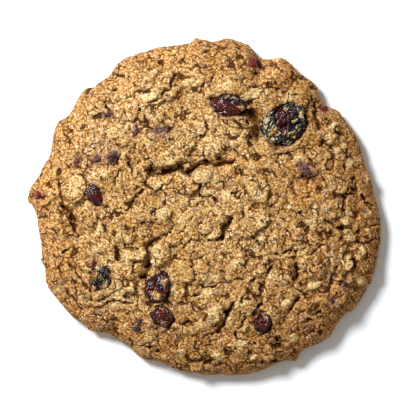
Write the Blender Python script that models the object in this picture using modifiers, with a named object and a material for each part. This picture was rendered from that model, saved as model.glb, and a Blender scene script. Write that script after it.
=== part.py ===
"""A large oatmeal cookie with raisins and dried cranberries, lying on its flat baked underside.

Sizes are in millimetres in this file and become metres when a mesh is placed. +Z is up, +X runs along the
cookie's longest width, and the origin is the middle of the underside.
"""

import math
import random

import bmesh
import bpy
from mathutils import Euler, Matrix, Vector, noise
from mathutils.bvhtree import BVHTree

MM = 0.001

# Driving dimensions of the baked dough
CROWN = 13.0  # height of the middle before lumps
SLOPE = 3.4  # how much lower the top lies at the shoulder than in the middle
WIDEST_LEVEL = 2.4  # height at which the side bulges out furthest
SHOULDER_POWER = 9  # higher is a squarer shoulder
FOOT_SHARE = 0.955  # the flat underside's radius, as a share of the rim's
FOOT_ROUNDING = 0.035  # width of the curve from the underside to the side, as a share of the rim's radius
UNDERSIDE_CUT = 0.3  # baked flat: this much is sliced off below
SIDE_CALM = 0.5  # the side is this much smoother than the top
LUMPS_END = 0.11  # lumps fade out below the widest level, over this share of the lower half

# Crests and notches of the rim, anticlockwise from +X: (degrees, radius)
RIM = (
    (8, 45.0), (16, 44.2), (22, 44.6), (34, 43.9), (41, 41.8), (48, 43.9), (54, 43.5), (61, 44.7),
    (69, 42.1), (76, 44.8), (82, 45.2), (87, 44.0), (92, 44.6), (98, 43.6), (108, 44.2), (120, 45.0),
    (127, 43.2), (132, 43.5), (136, 44.8), (146, 43.8), (151, 45.3), (162, 43.7), (168, 44.8), (176, 47.3),
    (184, 45.1), (192, 45.0), (200, 46.0), (207, 47.4), (214, 46.7), (220, 46.2), (228, 44.8), (234, 42.7),
    (240, 42.6), (248, 44.1), (254, 43.6), (262, 44.7), (272, 45.3), (288, 46.6), (297, 46.4), (300, 48.1),
    (304, 46.7), (313, 48.3), (320, 47.3), (326, 48.6), (336, 48.9), (350, 47.7),
)

# Cracks in the top: (half width, depth, points that the crack runs through)
CRACKS = (
    (1.0, 3.0, ((-38.5, 12.0), (-38.8, 4.5), (-37.0, -0.5), (-34.5, -5.2), (-35.0, -9.5))),
    (1.5, 3.6, ((-15.4, 10.4), (-11.5, 7.6), (-5.8, 10.0), (-2.5, 11.2), (5.0, 11.9))),
    (1.0, 2.8, ((7.4, -1.9), (6.2, -6.3), (4.4, -9.2), (1.2, -9.0))),
    (1.2, 3.2, ((-15.0, -9.4), (-15.0, -12.6), (-14.4, -16.6))),
    (0.8, 2.2, ((-16.4, 6.4), (-19.0, 1.8), (-24.1, -3.3))),
    (1.0, 2.8, ((-23.4, -10.8), (-23.6, -14.6))),
    (1.0, 2.6, ((-34.9, -17.8), (-32.0, -21.0), (-30.2, -23.2))),
    (1.0, 2.6, ((-31.0, -27.6), (-27.6, -28.0), (-22.4, -27.2))),
    (0.9, 2.4, ((-1.5, -22.9), (2.4, -21.5), (5.6, -20.0))),
    (0.9, 2.6, ((25.0, -25.2), (22.0, -28.4), (20.4, -31.4))),
    (0.7, 2.2, ((-0.6, 32.8), (-0.4, 29.4))),
    (0.7, 2.0, ((-16.4, 17.0), (-15.9, 13.4))),
    (0.8, 2.4, ((29.6, 25.6), (29.8, 21.8))),
    (1.3, 2.8, ((14.4, 22.8), (13.8, 18.8))),
    (1.1, 2.6, ((10.0, 27.0), (14.2, 25.0))),
    (0.8, 2.0, ((-31.2, 30.0), (-26.0, 29.0), (-23.0, 27.0))),
    (1.1, 2.6, ((38.4, -5.8), (38.9, -7.6), (41.6, -10.6))),
    (0.8, 2.2, ((35.0, -0.8), (36.8, -4.0), (37.2, -9.0))),
    (0.9, 2.4, ((23.8, -16.4), (24.6, -19.8))),
    (0.8, 2.2, ((15.2, -21.0), (13.8, -26.0))),
    (0.8, 2.0, ((0.8, 3.0), (3.2, 2.0))),
    (1.4, 3.0, ((15.4, 40.0), (17.8, 37.6), (21.0, 36.8))),
    (0.9, 2.2, ((-0.8, -36.6), (4.0, -35.0), (8.4, -32.6))),
)

# Raised plates of dough with a crumbled edge: (centre, length, width, turn in degrees, rise)
PLATES = (
    ((-34.8, 5.2), 9.6, 7.0, 100, 1.6),
    ((-10.0, 14.8), 12.4, 9.6, 0, 1.4),
    ((8.4, 35.9), 14.0, 10.6, 90, 0.9),
    ((18.6, 35.2), 8.2, 6.0, 5, 1.0),
    ((32.7, 19.9), 7.2, 5.8, 60, 0.9),
    ((13.5, 5.2), 10.2, 6.4, 112, 1.4),
    ((11.8, -5.2), 11.4, 5.8, 36, 1.2),
    ((2.8, -6.0), 7.6, 6.0, 24, 0.9),
    ((-11.3, -2.5), 5.2, 4.6, 0, 0.9),
    ((-11.9, -12.7), 7.2, 4.8, 88, 1.1),
    ((-21.5, -19.1), 10.6, 5.4, 98, 1.0),
    ((-21.5, -7.1), 7.6, 5.2, 10, 0.8),
    ((-31.4, -3.6), 6.8, 5.8, 60, 1.0),
    ((-20.2, 25.2), 7.0, 5.4, 20, 0.9),
    ((-29.8, 19.1), 7.6, 6.0, 40, 1.0),
    ((-11.0, 29.8), 11.6, 4.2, 27, 1.1),
    ((-14.6, 35.4), 7.0, 3.0, 35, 0.8),
    ((2.3, 15.6), 8.0, 7.0, 0, 0.8),
    ((-0.9, 7.9), 5.6, 5.0, 30, 0.9),
    ((28.2, -16.4), 7.4, 6.6, 0, 0.8),
    ((22.0, -18.6), 5.6, 3.2, 100, 0.8),
    ((2.8, -28.7), 4.8, 4.6, 0, 0.8),
    ((-39.0, -17.0), 7.2, 5.8, 110, 0.6),
    ((-28.4, -29.8), 8.0, 5.4, -25, 0.7),
    ((33.6, 2.2), 7.0, 5.0, 70, 0.8),
    ((-2.6, -18.6), 7.6, 4.6, 20, 0.8),
)

# Lumps of dough: (distance between lumps, depth of the creases, how far neighbours differ in height)
LUMPS = (
    (8.2, 1.1, 1.2),
    (4.1, 0.8, 0.5),
)
CREASE_SHARE = 0.22  # width of a crease, as a share of the distance between lumps
DITCH = 0.5  # depth of the ditch around a plate

EVEN_FACE = 0.32  # face size before thinning
TRIANGLES_BEFORE_BEDS = 10300
SOFT_EDGE = 38  # faces that meet at less than this angle shade as one surface
NOISE_SEED = 5

# Oat flakes that stand out by themselves: (centre, length, width, turn in degrees)
SHOWN_FLAKES = (
    ((37.3, -14.3), 7.2, 4.0, 95),
    ((14.8, -8.9), 4.6, 3.5, -20),
    ((42.0, 7.1), 4.4, 3.2, 110),
    ((-21.1, -8.1), 5.8, 3.0, 10),
    ((12.2, 30.6), 7.0, 4.6, 35),
    ((-13.8, 29.0), 4.6, 3.4, 25),
    ((-22.4, 23.2), 4.0, 2.8, 60),
    ((18.8, 13.3), 5.2, 2.8, 10),
)

# The other oat flakes baked into the top, largest first
FLAKE_COUNT = 92
FLAKE_SEED = 20
FLAKE_LENGTH = (4.2, 8.0)
FLAKE_WIDTH_SHARE = (0.60, 0.82)
FLAKE_THICKNESS = 1.5
FLAKE_UNEVEN = 0.25  # how far the outline and the faces stray, as a share of the flake's size
FLAKE_LEVEL = 0.6  # 0 lies along the dough, 1 lies level
FLAKE_PROUD = (0.25, 0.8)
FLAKE_TILT = 13
FLAKE_REACH = 0.93  # of the rim's radius
FLAKE_TO_CRACK = 2.4  # a flake's centre stays this far from a crack
CANDIDATES = 14  # spots tried for each flake

# Fruit: name, centre, length, width, thickness, turn, lean, height of its top over the dough
FRUIT = (
    ("raisin_large", (21.2, 21.2), 13.6, 11.2, 8.0, 42, 6, 2.2),
    ("cranberry_top", (6.2, 26.6), 10.4, 6.2, 5.4, -8, -14, 1.8),
    ("cranberry_left", (-29.2, 2.7), 6.6, 4.4, 4.2, 118, 8, 0.9),
    ("raisin_lower_left", (-27.3, -19.2), 6.8, 5.0, 4.4, 68, 0, 1.0),
    ("cranberry_middle_upper", (-12.4, -21.8), 8.6, 7.2, 5.4, 55, 0, 1.2),
    ("cranberry_middle_lower", (-11.2, -29.6), 6.6, 5.8, 4.6, -20, -6, 1.5),
    ("cranberry_low_right", (15.4, -31.2), 5.6, 4.8, 4.4, 80, 0, 0.9),
)

# Bits of fruit baked into the dough: centre, length, width, thickness, turn, lean, height over the dough
FRUIT_BITS = (
    ((-11.8, 19.7), 4.6, 2.9, 2.6, 10, 0, 0.4),
    ((-28.6, 12.4), 3.2, 2.6, 2.4, 40, 0, 0.4),
    ((-24.4, 13.0), 4.2, 2.6, 2.4, 72, 0, 0.5),
    ((26.6, 9.7), 4.6, 3.2, 2.8, -35, 0, 0.5),
    ((12.6, 37.8), 3.4, 3.0, 2.6, 80, 20, 0.5),
    ((31.6, 25.6), 3.0, 2.0, 2.0, 10, 0, 0.4),
)
RAISIN_WRINKLE = 0.11  # depth of the folds, as a share of the fruit's size
FRUIT_GAP = 0.35  # clear space between a fruit and the dough around it
RAISIN_TRIANGLES = 420  # on the large raisin
BERRY_TRIANGLES = 170  # on the other fruit

DOUGH_COLOUR = (0.48, 0.26, 0.10, 1.0)
RAISIN_COLOUR = (0.018, 0.012, 0.016, 1.0)
CRANBERRY_COLOUR = (0.13, 0.012, 0.014, 1.0)
DOUGH_ROUGHNESS = 0.75
FRUIT_ROUGHNESS = 0.35


def clear_scene():
    for obj in list(bpy.data.objects):
        bpy.data.objects.remove(obj)


def new_collection(name):
    collection = bpy.data.collections.new(name)
    bpy.context.scene.collection.children.link(collection)
    return collection


def move_to(obj, collection):
    for holder in list(obj.users_collection):
        holder.objects.unlink(obj)
    collection.objects.link(obj)


def material(name, colour, roughness):
    made = bpy.data.materials.new(name)
    made.use_nodes = True
    shader = made.node_tree.nodes["Principled BSDF"]
    shader.inputs["Base Color"].default_value = colour
    shader.inputs["Roughness"].default_value = roughness
    return made


def eased(low, high, share):
    """From low to high along half a cosine wave."""
    return low + (high - low) * (1 - math.cos(math.pi * share)) / 2


def rim_radius(angle):
    """The rim's radius in the direction of angle, in radians."""
    degrees = math.degrees(angle) % 360
    for (start, here), (end, there) in zip(RIM, (*RIM[1:], (RIM[0][0] + 360, RIM[0][1])), strict=True):
        for turned in (degrees, degrees + 360):
            if start <= turned <= end:
                return eased(here, there, (turned - start) / (end - start))
    return RIM[0][1]


def top_height(share):
    """Height of the smooth top at this share of the way out to the rim."""
    shoulder = math.sqrt(max(0.0, 1 - share**SHOULDER_POWER))
    return WIDEST_LEVEL + (CROWN - WIDEST_LEVEL - SLOPE * share * share) * shoulder


def bottom_height(share):
    """Height of the underside: level, then a quarter curve up to the widest level."""
    past_foot = min(1.0, max(0.0, (share - FOOT_SHARE) / FOOT_ROUNDING))
    return -UNDERSIDE_CUT + (WIDEST_LEVEL + UNDERSIDE_CUT) * (1 - math.sqrt(1 - past_foot * past_foot))


def on_dough(direction):
    """Where a point of the unit sphere lies on the smooth cookie: the upper half becomes the top."""
    share = math.sqrt(max(0.0, 1 - abs(direction.z)))
    angle = math.atan2(direction.y, direction.x)
    radius = share * rim_radius(angle)
    height = top_height(share) if direction.z >= 0 else bottom_height(share)
    return Vector((radius * math.cos(angle), radius * math.sin(angle), height))


def distance_to_run(place, points):
    """Distance in plan from a place to the line through some points."""
    nearest = math.inf
    for (x0, y0), (x1, y1) in zip(points, points[1:], strict=False):
        run_x, run_y = x1 - x0, y1 - y0
        along = ((place.x - x0) * run_x + (place.y - y0) * run_y) / (run_x * run_x + run_y * run_y)
        along = min(1.0, max(0.0, along))
        nearest = min(nearest, math.hypot(place.x - x0 - along * run_x, place.y - y0 - along * run_y))
    return nearest


def crack_depth(place):
    """How deep the cracks are at a place. Their sides wander a little."""
    wander = noise.noise_vector(place / 3.0) * 0.7
    wandered = place + wander
    deepest = 0.0
    for half_width, depth, points in CRACKS:
        away = distance_to_run(wandered, points) / half_width
        if away < 2:
            deepest = max(deepest, depth * math.exp(-away * away))
    return deepest


def plate_height(place):
    """Height that the raised plates add, with a shallow ditch around each."""
    wandered = place + noise.noise_vector(place / 2.4) * 0.8
    height = 0.0
    for (x, y), length, width, turn, rise in PLATES:
        away_x, away_y = wandered.x - x, wandered.y - y
        if max(abs(away_x), abs(away_y)) > length:
            continue
        cosine, sine = math.cos(math.radians(turn)), math.sin(math.radians(turn))
        along = (away_x * cosine + away_y * sine) * 2 / length
        across = (away_y * cosine - away_x * sine) * 2 / width
        out = math.hypot(along, across)
        edge = min(1.0, max(0.0, (1.1 - out) / 0.22))
        height = max(height, rise * edge * edge * (3 - 2 * edge))
        if out > 1.05:
            height -= DITCH * math.exp(-(((out - 1.25) / 0.12) ** 2))
    return height


def lump_height(place):
    """Flattish lumps with creases between them, each at a height of its own."""
    height = 0.0
    for size, rise, step in LUMPS:
        warped = place / size + noise.noise_vector(place / (0.7 * size)) * 0.4
        distances, centres = noise.voronoi(warped)
        inward = min(1.0, (distances[1] - distances[0]) / CREASE_SHARE)
        height += rise * (inward * (2 - inward) - 0.8)
        height += step * noise.noise(centres[0] * 7.3)
    return height


def shape_dough():
    """The dough's body: a ball pressed to the cookie's form, then lumps and cracks pushed along its normals."""
    bpy.ops.mesh.primitive_ico_sphere_add(subdivisions=7, radius=1)
    cookie = bpy.context.object
    cookie.name = "cookie"
    mesh = cookie.data
    upper = [vertex.co.z for vertex in mesh.vertices]
    for vertex in mesh.vertices:
        vertex.co = on_dough(vertex.co.normalized())
    mesh.update()
    normals = [vertex.normal.copy() for vertex in mesh.vertices]
    for vertex, normal, level in zip(mesh.vertices, normals, upper, strict=True):
        fade = min(1.0, max(0.0, 1 + level / LUMPS_END))
        place = vertex.co.copy()
        sideways = 1 - max(0.0, normal.z)
        vertex.co = place + normal * lump_height(place) * fade * (1 - SIDE_CALM * sideways)
        vertex.co.z += (plate_height(place) - crack_depth(place)) * max(0.0, normal.z) * fade
    return cookie


def decimate(obj, triangles):
    thin = obj.modifiers.new("fewer_faces", "DECIMATE")
    thin.ratio = triangles / sum(len(face.vertices) - 2 for face in obj.data.polygons)
    apply_modifiers(obj)


def even_mesh(obj):
    """Replaces slivers that a Boolean leaves by evenly sized faces."""
    even = obj.modifiers.new("even_faces", "REMESH")
    even.mode = "VOXEL"
    even.voxel_size = EVEN_FACE
    apply_modifiers(obj)
    order_edges(obj)


def order_edges(obj):
    """Sorts the edges by their corners, so that thinning meets them in one fixed order."""
    work = bmesh.new()
    work.from_mesh(obj.data)
    work.verts.index_update()
    count = len(work.verts)

    def place_in_order(edge):
        low, high = sorted(corner.index for corner in edge.verts)
        return low * count + high

    work.edges.sort(key=place_in_order)
    work.to_mesh(obj.data)
    work.free()


def apply_modifiers(obj):
    graph = bpy.context.evaluated_depsgraph_get()
    made = bpy.data.meshes.new_from_object(obj.evaluated_get(graph))
    obj.modifiers.clear()
    obj.data = made


def bake_flat(obj):
    """Slices the underside off level at Z = 0, as the tray left it."""
    cut = bmesh.new()
    cut.from_mesh(obj.data)
    found = bmesh.ops.bisect_plane(
        cut,
        geom=[*cut.verts, *cut.edges, *cut.faces],
        dist=1e-5,
        plane_co=(0, 0, 0),
        plane_no=(0, 0, 1),
        clear_inner=True,
    )
    rim_edges = [part for part in found["geom_cut"] if isinstance(part, bmesh.types.BMEdge)]
    bmesh.ops.contextual_create(cut, geom=rim_edges)
    bmesh.ops.recalc_face_normals(cut, faces=cut.faces)
    cut.to_mesh(obj.data)
    cut.free()


def flake_spots(count, keep_clear):
    """Flake centres spread evenly over the top: of several random spots, each flake takes the loneliest."""
    draw = random.Random(FLAKE_SEED)
    spots = []
    while len(spots) < count:
        tried = []
        while len(tried) < CANDIDATES:
            angle = draw.uniform(0, 2 * math.pi)
            radius = rim_radius(angle) * FLAKE_REACH * math.sqrt(draw.random())
            spot = Vector((radius * math.cos(angle), radius * math.sin(angle), 0))
            if any((spot - centre).length < clear for centre, clear in keep_clear):
                continue
            if all(distance_to_run(spot, points) > FLAKE_TO_CRACK for _, _, points in CRACKS):
                tried.append(spot)
        spots.append(max(tried, key=lambda s: min([(s - other).length for other in spots], default=0)))
    return spots


def make_flake(number, length, width, turn, collection):
    """One rolled oat: a ball pressed to a thin oval with an uneven outline."""
    bpy.ops.mesh.primitive_uv_sphere_add(segments=20, ring_count=10, radius=1)
    flake = bpy.context.object
    flake.name = f"flake_{number:02d}"
    for vertex in flake.data.vertices:
        x, y, z = vertex.co
        uneven = 1 + FLAKE_UNEVEN * noise.noise(Vector((x, y, number * 3.1)))
        bend = FLAKE_UNEVEN * noise.noise(Vector((x * 0.8, y * 0.8, number * 5.7)))
        vertex.co.x = x * uneven * length / 2
        vertex.co.y = y * uneven * width / 2
        vertex.co.z = (math.copysign(abs(z) ** 0.6, z) / 2 + bend) * FLAKE_THICKNESS
    flake.data.transform(Matrix.Rotation(turn, 4, "Z"))
    move_to(flake, collection)
    return flake


def sink_flake(flake, spot, lean, proud, surface):
    """Lays a flake on the dough at a spot, leaning by two angles, with its top standing proud."""
    hit, normal, _, _ = surface.ray_cast(Vector((*spot, 100)), Vector((0, 0, -1)))
    level = normal.lerp(Vector((0, 0, 1)), FLAKE_LEVEL).normalized()
    turned = Vector((0, 0, 1)).rotation_difference(level).to_matrix()
    leaning = Euler((math.radians(lean[0]), math.radians(lean[1]), 0)).to_matrix()
    centre = hit + level * (proud - FLAKE_THICKNESS / 2)
    flake.data.transform(Matrix.Translation(centre) @ (turned @ leaning).to_4x4())


def bake_in_flakes(surface, collection):
    keep_clear = [(Vector((*spec[1], 0)), (spec[2] + FLAKE_LENGTH[0]) / 2) for spec in FRUIT]
    keep_clear += [(Vector((*centre, 0)), length) for centre, length, _, _ in SHOWN_FLAKES]
    for number, (centre, length, width, turn) in enumerate(SHOWN_FLAKES):
        flake = make_flake(FLAKE_COUNT + number, length, width, math.radians(turn), collection)
        sink_flake(flake, centre, (0, 0), FLAKE_PROUD[1], surface)
    draw = random.Random(FLAKE_SEED + 1)
    shortest, longest = FLAKE_LENGTH
    for number, spot in enumerate(flake_spots(FLAKE_COUNT, keep_clear)):
        length = shortest + (longest - shortest) * (1 - number / FLAKE_COUNT) * draw.uniform(0.7, 1)
        width = length * draw.uniform(*FLAKE_WIDTH_SHARE)
        flake = make_flake(number, length, width, draw.uniform(0, math.pi), collection)
        lean = (draw.uniform(-FLAKE_TILT, FLAKE_TILT), draw.uniform(-FLAKE_TILT, FLAKE_TILT))
        sink_flake(flake, spot.xy, lean, draw.uniform(*FLAKE_PROUD), surface)


def join_all(obj, collection, operation):
    """One Boolean with everything in a collection, applied. The collection's objects then go."""
    join = obj.modifiers.new("join", "BOOLEAN")
    join.operation = operation
    join.operand_type = "COLLECTION"
    join.collection = collection
    join.solver = "MANIFOLD"
    apply_modifiers(obj)
    for used in list(collection.objects):
        bpy.data.objects.remove(used)
    bpy.data.collections.remove(collection)


def keep_main_body(obj):
    """Drops the loose scraps that a Boolean leaves beside the body."""
    work = bmesh.new()
    work.from_mesh(obj.data)
    left = set(work.verts)
    bodies = []
    while left:
        body = [left.pop()]
        for vertex in body:
            for edge in vertex.link_edges:
                other = edge.other_vert(vertex)
                if other in left:
                    left.remove(other)
                    body.append(other)
        bodies.append(body)
    bodies.sort(key=len)
    for scrap in bodies[:-1]:
        bmesh.ops.delete(work, geom=scrap, context="VERTS")
    work.to_mesh(obj.data)
    work.free()


def surface_of(obj):
    return BVHTree.FromObject(obj, bpy.context.evaluated_depsgraph_get())


def bed_place(spec, surface):
    """Matrix that carries a fruit from its own axes to its bed in the dough."""
    (x, y), _, _, thickness, turn, lean, proud = spec
    hit, _, _, _ = surface.ray_cast(Vector((x, y, 100)), Vector((0, 0, -1)))
    turned = Euler((math.radians(lean), 0, math.radians(turn))).to_matrix().to_4x4()
    return Matrix.Translation((x, y, hit.z + proud - thickness / 2)) @ turned


def make_bit(number, spec, place, collection):
    """A bit of fruit in the dough: a plain small ball, pressed to an oval."""
    _, length, width, thickness, _, _, _ = spec
    bpy.ops.mesh.primitive_uv_sphere_add(segments=12, ring_count=6, radius=0.5)
    bit = bpy.context.object
    bit.name = f"fruit_bit_{number}"
    bit.data.transform(place @ Matrix.Diagonal((length, width, thickness, 1)))
    move_to(bit, collection)


def make_fruit(number, spec, place):
    """A dried fruit: an egg-shaped ball with folds pressed into it."""
    name, _, length, width, thickness, _, _, _ = spec
    bpy.ops.mesh.primitive_ico_sphere_add(subdivisions=5, radius=0.5)
    fruit = bpy.context.object
    fruit.name = name
    for vertex in fruit.data.vertices:
        point = vertex.co * 2
        lengthwise = Vector((point.x * 0.9, point.y * 1.9, point.z * 1.6))
        fold = abs(noise.noise(lengthwise + Vector((number * 5.0, 0, 0))))
        crease = 1 - RAISIN_WRINKLE * 1.6 * (1 - min(1.0, fold * 5)) ** 2
        hollow = 1 - RAISIN_WRINKLE * (0.5 + 0.5 * noise.noise(point * 0.9 + Vector((0, number * 4.0, 0))))
        vertex.co *= crease * hollow
        vertex.co.x *= length
        vertex.co.y *= width
        vertex.co.z *= thickness
    decimate(fruit, RAISIN_TRIANGLES if name == "raisin_large" else BERRY_TRIANGLES)
    fruit.data.transform(place)
    return fruit


def make_bed_cutter(spec, place, collection):
    """A smooth ball a little larger than the fruit, which leaves its bed in the dough."""
    name, _, length, width, thickness, _, _, _ = spec
    bpy.ops.mesh.primitive_uv_sphere_add(segments=12, ring_count=7, radius=0.5)
    cutter = bpy.context.object
    cutter.name = f"bed_of_{name}"
    room = 2 * FRUIT_GAP
    cutter.data.transform(Matrix.Diagonal((length + room, width + room, thickness + room, 1)))
    cutter.data.transform(place)
    move_to(cutter, collection)


def set_on_origin(objects):
    """Puts the middle of the whole cookie's box over the origin and turns millimetres into metres."""
    points = [vertex.co for obj in objects for vertex in obj.data.vertices]
    middle_x = (min(p.x for p in points) + max(p.x for p in points)) / 2
    middle_y = (min(p.y for p in points) + max(p.y for p in points)) / 2
    place = Matrix.Scale(MM, 4) @ Matrix.Translation((-middle_x, -middle_y, 0))
    for obj in objects:
        obj.data.transform(place)


def finish_look(obj, look):
    obj.data.materials.clear()
    obj.data.materials.append(look)
    obj.data.shade_smooth()
    obj.data.set_sharp_from_angle(angle=math.radians(SOFT_EDGE))


def main():
    clear_scene()
    noise.seed_set(NOISE_SEED)
    cookie_parts = new_collection("oatmeal_cookie")
    dough_look = material("baked_dough", DOUGH_COLOUR, DOUGH_ROUGHNESS)
    raisin_look = material("raisin_skin", RAISIN_COLOUR, FRUIT_ROUGHNESS)
    cranberry_look = material("cranberry_skin", CRANBERRY_COLOUR, FRUIT_ROUGHNESS)

    cookie = shape_dough()
    move_to(cookie, cookie_parts)
    bare_dough = surface_of(cookie)

    baked_in = new_collection("baked_in")
    bake_in_flakes(bare_dough, baked_in)
    for number, spec in enumerate(FRUIT_BITS):
        make_bit(number, spec, bed_place(spec, bare_dough), baked_in)
    join_all(cookie, baked_in, "UNION")
    even_mesh(cookie)
    decimate(cookie, TRIANGLES_BEFORE_BEDS)
    bake_flat(cookie)

    beds = new_collection("fruit_beds")
    fruits = []
    for number, spec in enumerate(FRUIT):
        place = bed_place(spec[1:], bare_dough)
        make_bed_cutter(spec, place, beds)
        fruit = make_fruit(number, spec, place)
        move_to(fruit, cookie_parts)
        finish_look(fruit, raisin_look if "raisin" in spec[0] else cranberry_look)
        fruits.append(fruit)
    join_all(cookie, beds, "DIFFERENCE")
    keep_main_body(cookie)
    finish_look(cookie, dough_look)
    set_on_origin([cookie, *fruits])


main()
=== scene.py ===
"""The looks of a large oatmeal cookie: its baked dough, oat flakes, crumbs and dried fruit.

Pieces are shaped in millimetres and become metres when they are finished. +Z is up, and the origin is
the middle of the flat underside, as in the frame.
"""

import math
import random

import bpy
import numpy as np
from mathutils import Euler, Matrix, Vector, noise
from mathutils.bvhtree import BVHTree


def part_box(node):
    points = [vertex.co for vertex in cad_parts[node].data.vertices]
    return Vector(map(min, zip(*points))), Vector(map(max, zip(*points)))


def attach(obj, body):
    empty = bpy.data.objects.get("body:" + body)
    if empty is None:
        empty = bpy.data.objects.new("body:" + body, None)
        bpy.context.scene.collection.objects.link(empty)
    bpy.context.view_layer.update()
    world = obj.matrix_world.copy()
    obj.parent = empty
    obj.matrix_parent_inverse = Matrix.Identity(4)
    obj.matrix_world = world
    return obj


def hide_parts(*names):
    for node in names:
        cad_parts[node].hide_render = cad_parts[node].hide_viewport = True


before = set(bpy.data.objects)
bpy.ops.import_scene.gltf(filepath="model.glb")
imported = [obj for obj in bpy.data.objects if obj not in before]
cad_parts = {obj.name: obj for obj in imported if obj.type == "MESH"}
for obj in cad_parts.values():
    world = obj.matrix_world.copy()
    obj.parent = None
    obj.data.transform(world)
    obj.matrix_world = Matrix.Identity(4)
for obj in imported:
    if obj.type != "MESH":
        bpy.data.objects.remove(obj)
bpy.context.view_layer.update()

MM = 0.001  # metres
NOISE_SEED = 5

# The baked dough's section
CROWN = 13.0  # height of the middle before lumps
SLOPE = 3.4  # how much lower the top lies at the shoulder than in the middle
WIDEST_LEVEL = 2.4  # height at which the side bulges out furthest
SHOULDER_POWER = 9  # higher is a squarer shoulder
FOOT_SHARE = 0.955  # the flat underside's radius, as a share of the rim's
FOOT_ROUNDING = 0.035  # width of the curve from the underside to the side, as a share of the rim's radius
SIDE_CALM = 0.75  # the side is this much smoother than the top
UNDERSIDE_SHARE = 0.35  # how dense points lie on the underside, as a share of the top's
SECTION_STEPS = 1500  # along the section's top, and as many along its underside
RIM_STEPS = 1441  # one for each quarter of a degree

# Crests and notches of the rim, anticlockwise from +X: (degrees, radius)
RIM = (
    (8, 45.0), (16, 44.2), (22, 44.6), (34, 43.9), (41, 41.8), (48, 43.9), (54, 43.5), (61, 44.7),
    (69, 42.1), (76, 44.8), (82, 45.2), (87, 44.0), (92, 44.6), (98, 43.6), (108, 44.2), (120, 45.0),
    (127, 43.2), (132, 43.5), (136, 44.8), (146, 43.8), (151, 45.3), (162, 43.7), (168, 44.8), (176, 47.3),
    (184, 45.1), (192, 45.0), (200, 46.0), (207, 47.4), (214, 46.7), (220, 46.2), (228, 44.8), (234, 42.7),
    (240, 42.6), (248, 44.1), (254, 43.6), (262, 44.7), (272, 45.3), (288, 46.6), (297, 46.4), (300, 48.1),
    (304, 46.7), (313, 48.3), (320, 47.3), (326, 48.6), (336, 48.9), (350, 47.7),
)

# Wide cracks in the top: (half width, depth, points that the crack runs through)
WIDE_CRACKS = (
    (0.95, 3.2, ((-14.3, 9.5), (-12.7, 8.3), (-11.1, 8.7), (-8.9, 9.7), (-6.3, 9.3), (-4.7, 8.4),
                 (-3.3, 9.5), (-1.5, 10.8))),
    (0.55, 2.4, ((-1.5, 10.8), (1.1, 11.2), (3.0, 10.5), (5.3, 11.1), (7.6, 11.9))),
    (0.85, 2.8, ((-13.6, -9.5), (-15.1, -10.4), (-15.4, -11.9), (-14.7, -13.0), (-14.9, -15.1),
                 (-15.4, -15.9))),
    (0.50, 2.2, ((-13.5, -9.2), (-11.6, -8.4))),
    (0.36, 1.5, ((-38.6, 9.5), (-38.9, 7.3), (-38.6, 5.2), (-38.1, 2.0))),
    (0.60, 2.6, ((-38.1, 2.0), (-37.8, -0.1), (-35.7, -2.1), (-34.6, -4.0))),
    (0.55, 2.2, ((-34.6, -4.0), (-34.6, -6.5), (-33.4, -8.1))),
    (0.60, 2.6, ((6.8, -3.6), (5.3, -5.9), (4.7, -8.4), (3.3, -8.9))),
    (0.60, 2.4, ((-23.4, -11.1), (-22.7, -12.7), (-23.4, -14.6))),
    (0.60, 2.4, ((24.2, -15.9), (24.5, -17.4), (24.2, -19.3))),
    (0.60, 2.2, ((25.4, -20.7), (26.3, -21.2))),
    (0.38, 1.5, ((36.2, -5.7), (37.4, -5.9), (38.9, -6.3))),
    (0.40, 1.4, ((39.9, -9.3), (41.9, -9.7), (43.7, -9.5), (45.3, -8.7))),
    (0.35, 1.4, ((37.0, 2.1), (36.2, -0.5), (36.6, -2.0))),
    (0.80, 2.4, ((-17.0, -18.8), (-15.4, -19.1))),
    (0.70, 2.0, ((14.0, 38.6), (15.2, 36.7), (17.5, 37.5))),
    (0.50, 2.2, ((29.5, 25.0), (29.6, 22.8), (30.0, 20.4))),
    (0.32, 1.2, ((-36.1, -15.5), (-34.2, -17.8), (-33.0, -20.0), (-31.1, -21.9), (-30.3, -23.1))),
    (0.28, 1.0, ((-32.8, -26.3), (-30.2, -27.2), (-27.9, -27.1), (-26.3, -26.0))),
    (0.32, 1.0, ((-37.0, -22.7), (-35.5, -23.9), (-34.0, -25.8), (-33.0, -27.6))),
    (0.50, 2.0, ((24.7, -24.6), (23.6, -26.4), (22.4, -28.4), (21.2, -29.9), (20.2, -31.4))),
    (0.50, 2.0, ((7.3, -26.0), (6.4, -27.6), (5.6, -29.5), (4.5, -32.2), (3.7, -33.4))),
    (0.50, 2.0, ((19.4, -35.4), (20.2, -36.1), (19.4, -37.5))),
    (0.50, 2.0, ((-8.0, 34.6), (-8.4, 33.4), (-9.2, 32.2))),
    (0.50, 2.0, ((39.4, -13.5), (39.7, -15.8), (38.9, -16.6))),
    (0.50, 2.0, ((37.7, -17.8), (37.7, -19.4))),
    (0.60, 1.8, ((-6.5, -31.4), (-4.3, -30.7), (-3.5, -31.8))),
)

# Deep hollows beside the fruit: (half width, depth, points that the hollow runs through)
HOLLOWS = (
    (1.9, 4.2, ((10.8, 25.7), (12.8, 24.2), (13.9, 21.9), (14.2, 19.6), (13.6, 18.0))),
    (1.0, 2.2, ((-14.6, -15.2), (-15.6, -18.6))),
    (1.0, 2.0, ((-29.9, -17.2), (-28.8, -21.6))),
)

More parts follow.
